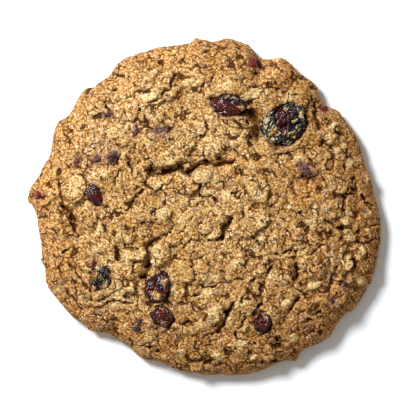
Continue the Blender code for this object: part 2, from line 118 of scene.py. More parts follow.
# Narrow cracks and hairline cracks: the points that each runs through
NARROW_CRACKS = (
    ((-16.8, 17.0), (-16.3, 15.5), (-15.5, 12.8), (-14.3, 11.6), (-14.3, 9.2)),
    ((-19.0, 11.6), (-19.7, 10.1), (-19.1, 8.3)), ((-23.0, 8.9), (-23.8, 6.3), (-24.8, 4.4)),
    ((-15.8, 6.3), (-16.2, 4.8), (-18.0, 2.8), (-19.3, 1.3), (-20.8, -1.3), (-21.6, -2.1), (-24.3, -2.4),
     (-25.0, -3.2)),
    ((-16.4, 6.1), (-13.8, 3.9), (-13.1, 3.6), (-11.9, 4.4), (-11.1, 5.6)),
    ((-0.8, 18.6), (0.7, 20.0), (0.0, 21.9)),
    ((-9.2, 32.0), (-10.4, 30.3), (-11.9, 28.8), (-14.2, 27.5), (-16.4, 27.0), (-17.8, 27.1)),
    ((-17.8, 27.1), (-17.2, 25.4), (-16.1, 23.5), (-15.4, 21.9), (-14.2, 20.7)),
    ((-26.7, 31.6), (-24.4, 31.1), (-23.8, 31.5)), ((-26.0, 28.8), (-26.0, 26.6), (-25.6, 24.3)),
    ((0.0, 32.8), (-0.7, 31.2), (-0.3, 29.8), (0.3, 29.0)), ((-19.9, 11.6), (-20.0, 10.1), (-19.5, 8.9)),
    ((-28.8, -2.4), (-28.0, -3.6), (-26.3, -5.5), (-25.8, -7.3)),
    ((-14.3, -2.3), (-13.4, -0.9), (-11.3, 0.0)),
    ((-14.2, -2.4), (-13.1, -3.7), (-13.4, -4.8), (-15.4, -4.5), (-17.6, -4.8)),
    ((-3.3, -3.1), (-4.3, -4.8), (-5.1, -5.9)), ((-1.6, 5.2), (-1.1, 2.9), (-0.3, 2.1)),
    ((-5.7, -10.8), (-3.5, -8.9)), ((7.2, 3.6), (8.7, 2.1), (9.9, 3.3)),
    ((10.3, -0.1), (10.0, -2.3), (8.7, -4.0)), ((27.4, -5.9), (27.8, -7.2), (26.3, -7.5)),
    ((17.5, -13.5), (19.0, -12.8), (21.0, -12.6), (22.8, -11.8), (25.5, -12.0), (26.7, -10.8)),
    ((27.4, -12.8), (29.6, -11.6), (31.2, -10.3), (31.6, -10.0)),
    ((18.3, -15.5), (17.0, -17.4), (16.0, -18.8), (15.2, -21.1), (14.8, -23.8), (15.2, -25.4),
     (14.4, -26.8)),
    ((-1.6, -21.1), (1.1, -21.9), (2.9, -21.5), (4.1, -20.4), (6.0, -20.2), (8.0, -19.6), (10.3, -19.1)),
    ((2.9, -25.4), (4.1, -24.2), (4.9, -23.8)), ((3.7, -33.4), (2.3, -34.2), (0.0, -34.9)),
    ((10.9, -29.5), (9.9, -31.1), (8.7, -32.6)), ((7.6, -33.8), (9.1, -35.7), (11.3, -35.8)),
    ((29.0, -28.8), (30.8, -28.2)), ((-14.7, -26.8), (-13.8, -28.8), (-12.7, -30.3)),
    ((-5.3, -25.0), (-4.7, -24.0), (-2.7, -24.2), (-1.3, -22.7)),
    ((-26.3, -26.0), (-24.4, -25.5), (-20.7, -26.2), (-19.5, -25.9)),
    ((-18.0, -37.1), (-15.8, -37.5), (-14.2, -37.5)), ((-12.7, -38.3), (-11.9, -39.1)),
    ((-8.4, -41.0), (-7.3, -42.5)), ((34.3, 19.2), (37.0, 19.6), (37.7, 18.6)),
    ((33.1, 15.5), (35.0, 16.6), (36.2, 15.9)), ((32.7, 15.1), (33.5, 13.9)),
    ((37.0, 10.9), (37.7, 8.9), (37.0, 8.4)), ((40.3, 6.7), (40.3, 5.2), (41.1, 3.6)),
    ((38.9, 4.8), (37.7, 3.2)), ((40.2, 6.3), (40.2, 4.4), (38.1, 4.4)),
    ((41.9, 2.9), (42.7, 1.3), (44.6, -0.1)), ((32.0, -4.0), (34.7, -6.0), (36.2, -5.7)),
    ((44.2, -5.5), (46.1, -5.1)), ((30.8, -7.5), (33.1, -7.2), (34.7, -8.1)),
    ((34.3, -18.2), (33.6, -21.1), (33.1, -22.3)), ((13.2, -36.5), (13.8, -37.0)),
    ((7.7, -37.8), (8.3, -38.3)), ((0.0, -39.0), (0.4, -39.4)), ((0.9, -42.1), (1.7, -42.3)),
    ((15.2, -42.2), (17.5, -41.8), (19.0, -41.4)),
    ((8.7, 27.5), (10.7, 27.1), (12.6, 27.6), (14.4, 29.0), (15.2, 30.4)), ((22.4, 29.6), (25.1, 29.4)),
    ((-35.7, -11.2), (-37.9, -12.4), (-36.9, -13.1)), ((28.6, 29.0), (29.6, 27.1), (29.5, 25.0)),
    ((-20.2, 12.2), (-19.9, 10.1)),
)
HAIRLINE_CRACKS = (
    ((-19.0, 28.6), (-20.7, 29.2), (-22.6, 28.0), (-23.4, 27.6)),
    ((-34.7, 22.7), (-32.4, 23.0), (-31.5, 22.2)), ((-18.0, 37.9), (-13.8, 38.6), (-11.9, 37.9)),
    ((-5.7, 27.6), (-6.1, 25.4)), ((-20.3, 22.7), (-19.9, 20.4)), ((-20.3, 16.6), (-19.5, 12.0)),
    ((-32.4, 15.1), (-31.4, 12.4), (-31.4, 11.2)), ((-8.8, 37.7), (-8.0, 38.2), (-6.9, 41.0)),
    ((-8.0, 34.6), (-6.1, 33.8), (-4.3, 33.8)), ((-25.2, 17.4), (-27.5, 14.3)),
    ((-3.9, 31.1), (-1.2, 30.2)), ((2.8, 36.1), (1.9, 33.9), (1.1, 32.0)),
    ((-3.9, 36.3), (-1.6, 37.4), (0.0, 38.6)), ((0.0, 40.5), (1.5, 41.7)),
    ((5.3, 22.2), (7.2, 21.0), (8.7, 21.0), (10.7, 20.8)), ((0.7, 21.4), (0.5, 19.5), (-0.8, 18.3)),
    ((-1.6, 3.6), (-0.7, 2.3), (1.7, 2.8), (3.3, 1.5)),
    ((13.6, -1.3), (16.0, -0.5), (17.0, 0.9), (19.1, -1.2), (21.2, -1.2)), ((19.0, -8.1), (18.8, -9.5)),
    ((13.0, -14.3), (13.6, -15.5), (13.0, -16.6), (11.3, -17.8)),
    ((2.9, -9.7), (3.7, -12.0), (4.3, -12.8)), ((6.4, -14.3), (6.0, -16.6)), ((9.1, -10.3), (10.7, -12.0)),
    ((-2.7, -14.8), (-1.3, -13.8)), ((-3.9, -9.3), (-0.4, -9.1), (2.9, -9.1)), ((19.0, 6.3), (21.0, 4.8)),
    ((-23.5, 7.1), (-24.3, 4.8), (-24.4, 3.6)), ((-22.7, 9.3), (-21.2, 9.3)), ((-16.7, 7.5), (-15.5, 5.6)),
    ((-19.0, -11.6), (-17.4, -11.2)), ((-17.8, -5.9), (-16.7, -8.5), (-15.1, -7.7)),
    ((-40.6, -13.1), (-39.9, -15.1)), ((-31.1, 10.1), (-31.2, 12.8)),
    ((-3.5, 6.3), (-2.0, 5.6), (-0.8, 2.9)), ((3.3, 5.9), (5.3, 6.3), (6.0, 8.3)),
    ((-9.1, -2.8), (-8.8, -1.7)), ((-0.8, -8.1), (0.3, -8.9), (2.7, -9.3), (4.0, -7.5)),
    ((-3.5, -15.1), (-1.2, -13.9), (0.0, -13.0)), ((-5.2, -17.4), (-3.1, -15.5)),
    ((-9.6, -10.8), (-8.0, -10.8), (-6.9, -12.4)), ((10.7, -25.0), (12.6, -25.0)),
    ((-24.0, -20.8), (-23.8, -21.8)), ((-24.3, -23.8), (-24.4, -25.4)), ((-6.5, -26.4), (-5.7, -25.8)),
    ((-31.1, 2.9), (-31.9, 1.3), (-33.0, 0.3)), ((-16.0, 8.9), (-14.3, 9.7)), ((26.8, -6.5), (27.9, -7.1)),
    ((35.8, -11.6), (35.4, -14.3), (37.0, -16.6)), ((-11.9, 4.4), (-10.3, 2.8), (-8.7, 2.5)),
    ((-7.6, 6.3), (-6.3, 4.7), (-4.4, 4.4)), ((-8.7, -6.3), (-10.3, -7.9), (-11.9, -8.4)),
    ((-30.6, -4.9), (-29.0, -6.5)), ((-25.2, -14.8), (-26.8, -16.4), (-27.9, -18.6)),
    ((-9.7, -33.0), (-7.6, -34.6), (-6.0, -36.7)), ((-2.3, -36.5), (-0.7, -37.5), (2.0, -37.0)),
    ((4.7, -36.5), (6.3, -38.9)), ((11.1, -38.9), (13.5, -39.7)),
    ((-3.9, -26.3), (-2.0, -27.9), (-0.4, -27.4)), ((17.5, -31.6), (18.8, -33.2)),
    ((28.7, -17.0), (30.8, -16.4)), ((25.5, -2.3), (27.1, -3.3), (29.0, -3.1)),
    ((21.8, -6.8), (23.1, -8.9), (24.7, -9.7)), ((5.7, 15.6), (7.6, 15.1), (9.5, 15.9)),
    ((12.7, 15.1), (14.3, 13.2), (16.4, 13.0)), ((9.5, 8.4), (11.6, 7.6), (13.5, 8.4)),
    ((-10.8, 24.4), (-9.2, 22.8)), ((-6.0, 39.1), (-4.4, 37.5)), ((4.7, 40.5), (6.5, 39.1), (8.4, 39.4)),
    ((-23.1, 35.1), (-21.2, 34.0), (-19.1, 34.6)), ((-30.0, 27.4), (-28.7, 26.0)),
    ((-37.0, 18.0), (-35.4, 17.2)), ((-42.3, -0.9), (-40.5, -2.0)),
    ((-41.8, -5.7), (-39.7, -6.8), (-38.6, -8.9)), ((-38.6, -14.8), (-39.1, -17.5), (-38.1, -19.6)),
    ((-24.7, -29.8), (-22.6, -31.1), (-20.7, -30.6)), ((-27.9, -33.0), (-26.0, -33.8)),
    ((17.0, 31.9), (19.1, 31.1), (21.0, 31.9)), ((23.4, 35.9), (25.5, 33.8)), ((31.4, 29.0), (33.0, 26.8)),
    ((27.6, 15.1), (29.0, 13.2)), ((30.8, 8.1), (32.4, 6.3), (32.2, 4.4)), ((30.3, -22.3), (32.2, -24.2)),
    ((34.9, -25.0), (37.0, -23.9)), ((25.5, -33.0), (27.4, -31.9)),
)
NARROW_SIZE = (0.26, 1.3)  # half width and depth
HAIRLINE_SIZE = (0.19, 0.7)
CRACK_REACH = 0.4  # how far past a crack's half width its nearness is marked, as painted shade along it

# How far each kind of crack closes here and there: hardly at 0.3, and nearly wholly at 1
WIDE_CLOSING = 0.35
NARROW_CLOSING = 0.8
HAIRLINE_CLOSING = 1
CLOSING_RUN = 1.3  # about how long a crack stays closed or open
CLOSED_MEAN = 0.38  # how far it closes on average, how much that swings, and its lowest and highest
CLOSED_SWING = 0.9
CLOSED_BETWEEN = (0, 0.88)
CLOSED_SHADE = 0.4  # how near a crack still counts where it has closed, as a share of an open one's

HOLLOW_SHADE = 0.15  # how fast the painted shade in a hollow beside the fruit deepens, for each millimetre of depth

# Raised plates of dough with a crumbled edge: (centre, length, width, turn in degrees, rise)
PLATES = (
    ((-34.8, 5.2), 9.6, 7.0, 100, 1.6),
    ((-10.0, 14.8), 12.4, 9.6, 0, 1.4),
    ((8.4, 35.9), 14.0, 10.6, 90, 0.9),
    ((18.6, 35.2), 8.2, 6.0, 5, 1.0),
    ((32.7, 19.9), 7.2, 5.8, 60, 0.9),
    ((13.5, 5.2), 10.2, 6.4, 112, 1.4),
    ((11.8, -5.2), 11.4, 5.8, 36, 1.2),
    ((2.8, -6.0), 7.6, 6.0, 24, 0.9),
    ((-11.3, -2.5), 5.2, 4.6, 0, 0.9),
    ((-11.9, -12.7), 7.2, 4.8, 88, 1.1),
    ((-21.5, -19.1), 10.6, 5.4, 98, 1.0),
    ((-21.5, -7.1), 7.6, 5.2, 10, 0.8),
    ((-31.4, -3.6), 6.8, 5.8, 60, 1.0),
    ((-20.2, 25.2), 7.0, 5.4, 20, 0.9),
    ((-29.8, 19.1), 7.6, 6.0, 40, 1.0),
    ((-11.0, 29.8), 11.6, 4.2, 27, 1.1),
    ((-14.6, 35.4), 7.0, 3.0, 35, 0.8),
    ((2.3, 15.6), 8.0, 7.0, 0, 0.8),
    ((-0.9, 7.9), 5.6, 5.0, 30, 0.9),
    ((28.2, -16.4), 7.4, 6.6, 0, 0.8),
    ((22.0, -18.6), 5.6, 3.2, 100, 0.8),
    ((2.8, -28.7), 4.8, 4.6, 0, 0.8),
    ((-39.0, -17.0), 7.2, 5.8, 110, 0.6),
    ((-28.4, -29.8), 8.0, 5.4, -25, 0.7),
    ((33.6, 2.2), 7.0, 5.0, 70, 0.8),
    ((-2.6, -18.6), 7.6, 4.6, 20, 0.8),
)
PLATE_EDGE = (0.88, 1.06)  # a plate falls off between these shares of its size

# How much of a place's height counts where cells and cracks are drawn, so that relief on the top hardly
# moves them
FLATTENED = (1, 1, 0.35)

# How lines and edges wander: the length and reach of one bend, or of a wide bend and then a finer one
CRACK_BENDS = ((1.6, 0.70), (0.6, 0.42))
HOLLOW_BENDS = ((1.5, 0.70),)
PLATE_BENDS = ((2.2, 0.90), (0.7, 0.35))
BED_BENDS = ((1.7, 0.60),)
TEAR_BENDS = ((1.5, 0.25),)
SKIN_BENDS = ((1.2, 0.50),)  # of black skin
FILM_BENDS = ((0.5, 0.30),)  # of the film of dough, on top of the last
SPOT_BENDS = ((0.9, 0.30),)  # of pale flakes and stains
PATCH_BENDS = ((4.0, 2.20),)  # of toasted, light and dark places, on top of the last
LUMP_BENDS = ((0.7, 0.40), (0.20, 0.05))  # as shares of a lump
GRAIN_BENDS = ((0.7, 0.35),)  # as shares of a grain
FOLD_BENDS = ((0.5, 0.22),)  # of fine folds, as shares of half a fruit

# Strides from one cell centre to the next in the noise that its level and slope are drawn from
LEVEL_STRIDE = 7.3
SLOPE_STRIDE = 5.9

# Added to the places, so that no two uses of the noise have the same pattern
CLOSING_SHIFT = 70
RUGGED_SHIFT = 20
FISSURE_SHIFT = 40

RIM_BAND = (0.87, 0.97)  # the rim begins and is reached at these shares of its radius
RIM_CALM = 0.7  # the dough's lumps are this much lower at the rim
CALM_MIDDLE = (-8.0, 7.0)  # middle of the smoothest part of the top
CALM_REACH = (22.0, 44.0)  # it becomes rough between these distances
RUGGED_PATCHES = (9.0, 0.6)  # size and strength of rougher and smoother patches

# Lumps of dough: (distance between lumps, depth of the creases, how far neighbours differ in height, tilt,
# width of a crease as a share of the distance, how much lower all this is on the calm middle)
LUMPS = (
    (7.2, 0.55, 0.90, 0.16, 0.13, 0.30),
    (3.4, 0.13, 0.22, 0.09, 0.30, 0.60),
)

# Oat flakes that stand out by themselves: (centre, length, width, turn in degrees, how pale)
SHOWN_FLAKES = (
    ((15.1, -4.1), 4.5, 3.2, 25, 0.95), ((14.8, -9.1), 3.2, 2.1, -10, 0.90),
    ((24.4, -5.5), 2.1, 1.7, 20, 1.00), ((4.1, -1.5), 2.1, 1.3, 10, 0.80),
    ((2.0, -8.3), 3.5, 1.6, 8, 0.70), ((22.5, 0.0), 2.4, 0.9, 65, 1.00), ((5.7, 2.5), 3.7, 2.9, 60, 0.70),
    ((14.4, 3.6), 5.9, 5.1, 70, 0.45), ((8.7, -15.4), 4.5, 2.7, 10, 0.60),
    ((1.1, -19.4), 4.3, 2.9, 40, 0.75), ((0.7, -23.1), 3.5, 2.4, 15, 0.70),
    ((21.3, -19.6), 2.9, 2.7, 60, 0.60), ((29.0, -0.4), 2.0, 1.9, 0, 0.80),
    ((31.6, -0.5), 2.1, 1.6, 90, 0.50), ((27.8, -4.8), 3.5, 3.2, 30, 0.50),
    ((-21.8, -8.4), 5.3, 3.5, -8, 0.35), ((-28.3, -6.3), 4.5, 1.9, 80, 0.60),
    ((-20.4, -14.7), 2.9, 2.7, 0, 0.90), ((-14.2, 34.9), 4.8, 2.1, 38, 0.55),
    ((-14.9, 29.2), 5.3, 3.2, 12, 0.70), ((-4.9, 32.6), 4.3, 1.6, 22, 0.80),
    ((-14.2, 18.7), 2.3, 2.1, 0, 1.00), ((-2.4, 31.6), 3.2, 1.3, -5, 0.70),
    ((12.2, 29.2), 7.2, 3.7, 27, 0.75), ((6.0, 31.9), 3.7, 3.2, 40, 0.80),
    ((22.5, 29.0), 3.5, 2.4, 20, 0.75), ((19.1, 39.0), 2.4, 1.3, 10, 0.60),
    ((34.7, 21.2), 4.0, 2.1, 20, 0.85), ((33.1, 18.2), 3.7, 2.7, 25, 0.40),
    ((36.4, 17.9), 1.7, 1.3, 0, 0.70), ((37.0, 16.0), 1.9, 1.5, -20, 0.90),
    ((38.5, 11.3), 2.7, 2.1, 30, 0.90), ((24.4, 12.4), 3.7, 1.9, 24, 0.85),
    ((42.5, 7.1), 4.3, 3.5, 80, 0.15), ((35.0, 14.7), 2.7, 2.1, 20, 0.50),
    ((40.7, 12.0), 2.1, 1.6, -50, 0.40), ((42.9, -2.0), 4.0, 2.4, -18, 0.30),
    ((37.5, -14.3), 6.1, 3.7, -76, 0.70), ((37.8, -3.2), 4.5, 2.4, 75, 0.60),
    ((38.5, -8.1), 4.0, 3.2, -30, 0.55), ((41.2, -12.4), 3.5, 2.7, 60, 0.60),
    ((41.5, -20.0), 2.7, 2.4, 0, 0.60), ((33.3, -13.5), 3.5, 2.1, 75, 0.70),
    ((29.0, -21.1), 4.0, 2.1, 22, 0.70), ((43.4, -7.1), 2.7, 1.6, -60, 0.60),
    ((2.6, -28.8), 5.3, 4.3, 60, 0.75), ((1.5, -23.5), 3.2, 2.1, 25, 0.60),
    ((9.5, -36.5), 4.0, 2.7, 20, 0.80), ((3.3, -39.9), 3.5, 2.7, -20, 0.60),
    ((17.5, -28.4), 2.4, 1.5, 0, 0.70), ((21.3, -25.8), 3.2, 1.9, 38, 0.80),
    ((23.6, -34.9), 3.5, 2.4, 80, 0.55), ((9.5, -26.0), 3.5, 2.7, 40, 0.50),
    ((-23.4, -23.8), 4.5, 3.5, 70, 0.60), ((-6.5, -39.1), 2.9, 2.4, 0, 0.55),
    ((-14.2, -35.7), 4.0, 2.7, 0, 0.50), ((-10.9, -2.1), 4.8, 3.7, 10, 0.55),
    ((-6.5, -4.0), 4.5, 4.0, 40, 0.45), ((-13.0, -13.1), 6.4, 3.7, 85, 0.75),
    ((-8.1, -12.0), 2.4, 2.1, 0, 0.50), ((-9.2, 11.9), 4.3, 2.7, 15, 0.60),
    ((-4.7, 11.6), 3.2, 2.4, 60, 0.60), ((-1.2, 7.6), 4.0, 3.2, 20, 0.70),
    ((2.5, 6.8), 3.7, 2.7, -10, 0.50), ((-22.0, 13.8), 3.2, 2.4, 20, 0.50),
    ((-29.5, 14.6), 3.5, 2.7, 40, 0.55), ((-24.7, 19.6), 3.7, 2.9, 60, 0.50),
    ((-34.3, 5.5), 8.0, 4.3, 75, 0.45), ((-29.0, -11.6), 4.5, 3.2, 20, 0.50),
    ((-38.6, -21.8), 4.3, 3.2, 40, 0.30), ((-31.9, -25.0), 3.7, 2.9, -20, 0.50),
    ((-11.9, 4.4), 4.3, 3.2, 20, 0.50), ((7.3, 17.8), 4.3, 2.7, 30, 0.60),
    ((2.3, 15.1), 3.5, 2.1, 50, 0.60), ((12.4, 10.8), 3.2, 2.1, 10, 0.60),
    ((6.8, 27.1), 1.6, 1.1, 0, 0.30), ((10.3, 25.2), 2.1, 1.3, -30, 0.90),
    ((-1.2, -31.6), 3.7, 2.7, 45, 0.50), ((13.2, -11.6), 3.7, 2.4, 30, 0.50),
    ((18.0, -18.3), 3.5, 2.4, 20, 0.50), ((-9.2, -22.3), 2.7, 2.1, 0, 0.60),
    ((6.3, -30.8), 3.2, 2.4, 60, 0.55), ((15.4, -33.0), 3.2, 2.1, 0, 0.40),
    ((12.2, -40.2), 3.2, 2.1, 10, 0.40),
)
SHOWN_PROUD = 0.22  # height of their tops over the dough
SHOWN_CLEARANCE = 1.5  # the other flakes' centres stay this far outside them

# The other oat flakes baked into the top, largest first
FLAKE_COUNT = 60
FLAKE_SEED = 20
FLAKE_LENGTH = (4.2, 8.0)
FLAKE_CUT = (0.7, 1)  # the length over the shortest is cut to a share of itself from this range
FLAKE_WIDTH_SHARE = (0.60, 0.82)  # of the length
FLAKE_THICKNESS = 1.2
FLAKE_UNEVEN = 0.25  # how far the outline and the faces stray, as a share of the flake's size
FLAKE_LEVEL = 0.4  # 0 lies along the dough, 1 lies level
FLAKE_PROUD = (0.0, 0.24)  # height of their tops over the dough
FLAKE_TILT = 5  # degrees
FLAKE_REACH = 0.93  # of the rim's radius
FLAKE_TO_CRACK = 2.0  # a flake's centre stays this far from a crack
CANDIDATES = 14  # spots tried for each flake

# Fruit: name, centre, length, width, thickness, turn, lean
FRUIT = (
    ("raisin_large", (21.2, 21.2), 13.6, 11.2, 8.0, 42, 6),
    ("cranberry_top", (6.2, 26.6), 10.4, 6.2, 5.4, -8, -14),
    ("cranberry_left", (-29.2, 2.7), 6.6, 4.4, 4.2, 118, 8),
    ("raisin_lower_left", (-27.3, -19.2), 6.8, 5.0, 4.4, 68, 0),
    ("cranberry_middle_upper", (-12.4, -21.8), 8.6, 7.2, 5.4, 55, 0),
    ("cranberry_middle_lower", (-11.2, -29.6), 6.6, 5.8, 4.6, -20, -6),
    ("cranberry_low_right", (15.4, -31.2), 5.6, 4.8, 4.4, 80, 0),
)

# Bits of fruit in the dough: centre, length, width, thickness, turn, height over the dough,
# tone: 0 is dark red, 0.5 purple and 1 blue-black
FRUIT_BITS = (
    ((-11.8, 19.7), 4.6, 2.9, 2.6, 10, 0.3, 0.62),
    ((-28.6, 12.4), 3.2, 2.6, 2.4, 40, 0.3, 0.35),
    ((-24.4, 13.0), 4.2, 2.2, 2.4, 72, 0.4, 0.70),
    ((26.6, 9.7), 4.6, 2.8, 2.8, -35, 0.3, 0.40),
    ((12.6, 37.8), 3.0, 2.4, 2.6, 80, 0.6, 0.05),
    ((31.6, 25.6), 2.6, 1.6, 2.0, 10, 0.4, 0.10),
    ((2.0, 27.2), 2.6, 1.9, 2.0, -20, 0.5, 0.25),
    ((7.3, 28.4), 3.0, 2.2, 2.0, -25, 0.9, 1.0),
    ((10.6, 27.2), 3.4, 1.0, 1.6, -42, 0.5, 1.0),
    ((-33.9, 11.9), 2.8, 1.8, 2.0, 60, 0.2, 0.30),
    ((-25.6, 24.2), 2.4, 1.6, 1.8, 20, 0.2, 0.60),
    ((-18.6, 19.3), 2.8, 1.5, 1.8, 50, 0.15, 0.45),
    ((-44.2, 2.9), 2.2, 1.3, 1.6, 80, 0.3, 0.15),
    ((-12.2, -18.8), 3.0, 1.8, 2.2, 62, 1.3, 0.08),
    ((-15.0, -25.2), 2.6, 1.4, 2.0, 28, 0.9, 0.03),
    ((-29.7, -15.2), 3.2, 1.6, 2.0, 100, 0.5, 0.15),
    ((-28.9, -19.8), 1.8, 1.1, 1.6, 75, 0.9, 0.05),
    ((-30.0, -20.6), 1.8, 1.5, 1.6, 20, 0.4, 0.60),
    ((-18.0, -32.6), 2.6, 1.6, 1.8, 15, 0.3, 0.55),
    ((-17.4, -30.9), 1.6, 1.1, 1.4, 60, 0.25, 0.75),
    ((37.6, -20.6), 2.0, 1.3, 1.6, 40, 0.25, 0.95),
    ((33.9, -25.1), 2.0, 1.2, 1.6, 120, 0.1, 0.80),
    ((27.9, -33.0), 1.9, 1.2, 1.6, 20, 0.1, 0.75),
    ((33.6, -19.1), 1.5, 1.0, 1.4, 80, 0.1, 0.85),
)

BIT_LIFT = 0.35  # added to every bit's height over the dough
BIT_LEVEL = 0.5  # 0 lies along the dough, 1 lies level
BIT_FULLNESS = 1.25  # they are this much longer and wider before their folds are pressed in
BIT_NUMBER = 20  # the first of their numbers, past those of the whole fruit
BIT_FILM = 0.55  # how much of a film of dough they have, from 0 to 1

# Dough that sticks to the fruit: centre, length, width, turn
STUCK_DOUGH = (
    ((18.5, 19.6), 3.0, 2.2, 40), ((15.6, 17.6), 2.2, 1.5, 45), ((17.8, 16.2), 1.8, 1.2, 0),
    ((23.6, 18.2), 1.2, 0.7, -30), ((9.6, 25.9), 2.0, 1.1, -35), ((4.0, 29.0), 1.8, 1.0, 20),
    ((-13.0, -23.8), 2.6, 1.8, -40), ((-10.7, -20.0), 1.8, 1.2, 40), ((-12.6, -26.6), 1.8, 1.1, 10),
    ((-28.6, -16.6), 1.3, 0.9, 20), ((-26.4, -21.4), 2.0, 1.4, 70),
    ((-25.5, -19.0), 2.6, 1.5, 75), ((-29.3, -18.7), 2.2, 1.3, 60),
)

# Lighter and darker places of the dough, partly its own tone and partly painted light and painted shade:
# centre, length, width, turn, shade from -1 dark to 1 light
TONE_AND_PAINTED_LIGHT = (
    ((-42.0, 0.0), 10, 30, 0, 0.6),
    ((31.5, -31.5), 26, 10, 45, 0.8),
    ((27.0, 2.0), 16, 16, 0, -0.35),
    ((-24.0, -25.0), 16, 13, 0, 1.0),
    ((6.0, -3.0), 22, 19, 0, 0.35),
    ((36.0, -22.0), 13, 17, 0, 0.8),
    ((0.0, -30.0), 18, 11, 0, -0.35),
    ((-23.0, 25.0), 34, 20, 45, 0.7),
    ((0.0, 19.0), 22, 16, 0, 0.5),
    ((-22.0, -20.0), 22, 15, -45, 0.35),
    ((-3.0, 4.0), 22, 15, 0, 0.5),
    ((12.0, -12.0), 26, 15, -45, 0.3),
    ((0.0, -35.0), 26, 7, 0, -0.5),
    ((37.5, -4.5), 9, 10, 0, -0.6),
    ((30.0, 21.0), 5, 12, 0, -0.4),
    ((14.5, 38.0), 5, 4, 0, -0.6),
    ((13.2, 22.0), 5, 10, -10, -0.7),
    ((-38.0, 0.0), 3, 14, -15, -0.4),
)

# Places that the oven toasted to a golden orange: centre, length, width, turn, how far
TOASTED = (
    ((19.0, 34.6), 8.0, 6.6, 20, 1.0),
    ((35.4, 18.2), 6.5, 5.0, 60, 0.8),
    ((26.0, 3.0), 9.0, 6.0, 30, 0.5),
    ((33.0, -22.0), 9.0, 6.0, 60, 0.5),
    ((-34.0, -27.0), 9.0, 4.0, -50, 0.6),
    ((-20.0, -33.0), 10.0, 4.0, -25, 0.5),
    ((-38.5, -14.0), 5.0, 9.0, 10, 0.5),
    ((10.0, -36.0), 14.0, 5.0, 5, 0.5),
    ((-43.0, 4.0), 5.0, 9.0, 0, 0.5),
    ((-11.0, 39.5), 12.0, 5.0, 10, 0.5),
    ((7.0, 11.0), 7.0, 3.0, 15, 0.5),
    ((-9.0, 6.2), 7.0, 3.0, -10, 0.4),
)

# Where the red fruit's skin is black: centre, length, width, turn
BLACK_SKIN = (
    ((6.6, 28.6), 7.4, 2.8, -12),
    ((10.6, 26.6), 3.0, 2.2, -40),
    ((-11.6, -21.4), 2.6, 2.0, 20),
    ((-14.6, -31.2), 1.8, 3.6, 0),
    ((-30.0, 4.4), 2.0, 2.2, 0),
)

# Where a film of dough clings to the fruit's skin: centre, length, width, turn
DOUGH_FILM = (
    ((18.4, 19.6), 4.6, 3.0, 40),
    ((16.7, 17.3), 5.4, 2.2, -40),
    ((23.8, 22.4), 3.0, 2.0, 80),
    ((22.8, 19.2), 3.8, 1.6, 12),
    ((25.6, 24.6), 3.2, 1.8, 60),
    ((16.3, 22.2), 1.6, 3.0, -20),
    ((6.0, 29.0), 7.0, 1.6, -10),
    ((10.2, 26.2), 3.0, 1.8, -40),
    ((-13.0, -23.6), 4.0, 2.6, -35),
    ((-10.8, -20.0), 3.0, 2.2, 40),
    ((-9.6, -27.0), 4.4, 1.6, 10),
    ((-11.0, -31.2), 3.4, 1.2, -60),
    ((-26.6, -21.4), 3.8, 2.8, 60),
    ((-28.9, -16.6), 2.6, 2.0, 0),
    ((-30.4, 4.6), 2.0, 1.4, 30),
    ((16.4, -29.6), 2.0, 1.2, 0),
)

# Where the large raisin is torn open: centre, length, width, turn, depth
TEARS = (
    ((20.1, 22.9), 7.4, 3.5, 98, 0.6),
    ((22.5, 24.6), 2.4, 1.3, 75, 0.4),
)

# The bed under a fruit and the lip of dough around it, as shares of the fruit's size
BED_EDGE = (0.72, 1.0)
BED_DEPTH = 0.5  # of the fruit's thickness
LIP_OUT = 1.14
LIP_WIDTH = 0.12
LIP_HEIGHT = 0.25  # in millimetres

# The lip around a tear, as shares of the tear's size
TEAR_EDGE = (0.80, 1.0)
TEAR_LIP_OUT = 1.10
TEAR_LIP_WIDTH = 0.10

# From where to where these places fade, as shares of their size
SHADE_EDGE = (0.3, 1.2)
TOASTED_EDGE = (0.5, 1.15)
PALE_FLAKE_EDGE = (0.7, 1.1)
BLACK_SKIN_EDGE = (0.7, 1.1)
FILM_EDGE = (0.6, 1.2)
BIT_STAIN_EDGE = (0.7, 1.5)
FRUIT_STAIN_EDGE = (0.8, 1.15)

# Stains of fruit juice in the dough, and the painted shade round each whole fruit, are this much longer and
# wider than what they come from
BIT_STAIN_REACH = 1.2
FRUIT_STAIN_REACH = 0.4
FRUIT_STAIN_AND_SHADE = 0.7  # how strong the ring round a whole fruit is, where a bit's stain is 1: juice stain with painted shade at the fruit's edge

DOUGH_SPLITS = 8  # times that the dough's ball has its faces split
DOUGH_FACE = 0.30  # face size after the flakes have grown into the dough
DOUGH_TRIANGLES = 190000  # after its faces are made fewer

# Small lumps of dough sunk in the surface
CLUMP_COUNT = 150
CLUMP_SIZE = (1.4, 3.4)
CLUMP_SEED = 31
CLUMP_UNEVEN = (0.7, 1.15)  # its length, width and height are its size times a share from this range
CLUMP_FLATNESS = 0.34  # height as a share of the width
CLUMP_SUNK = (0.1, 0.4)  # how far its middle lies under the dough's surface, as a share of its height
LUMP_MODELS = 6  # different lumps that all the clumps, crumbs or scraps are copies of
LUMP_ROUGHNESS = 0.5
CLUMP_SPLITS = 4  # times that a clump's or a scrap's ball has its faces split
CRUMB_SPLITS = 1  # and a crumb's

# Broken and small oat flakes
SMALL_FLAKE_COUNT = 60
SMALL_FLAKE_SIZE = (2.0, 3.8)
SMALL_FLAKE_WIDTH_SHARE = (0.55, 0.85)  # of the length
SMALL_FLAKE_THINNING = 0.45  # thickness as a share of the large flakes'
SMALL_FLAKE_LEVEL = 0.4  # 0 lies along the dough, and more lies closer to level
SMALL_FLAKE_TILT = 0.09  # in radians, typically
SMALL_FLAKE_PROUD = 0.05  # height of their middles over the dough
SMALL_FLAKE_SEED = 47
SMALL_FLAKE_MODELS = 5
SMALL_FLAKE_NUMBER = 200  # the first of their numbers, far from those of the large flakes

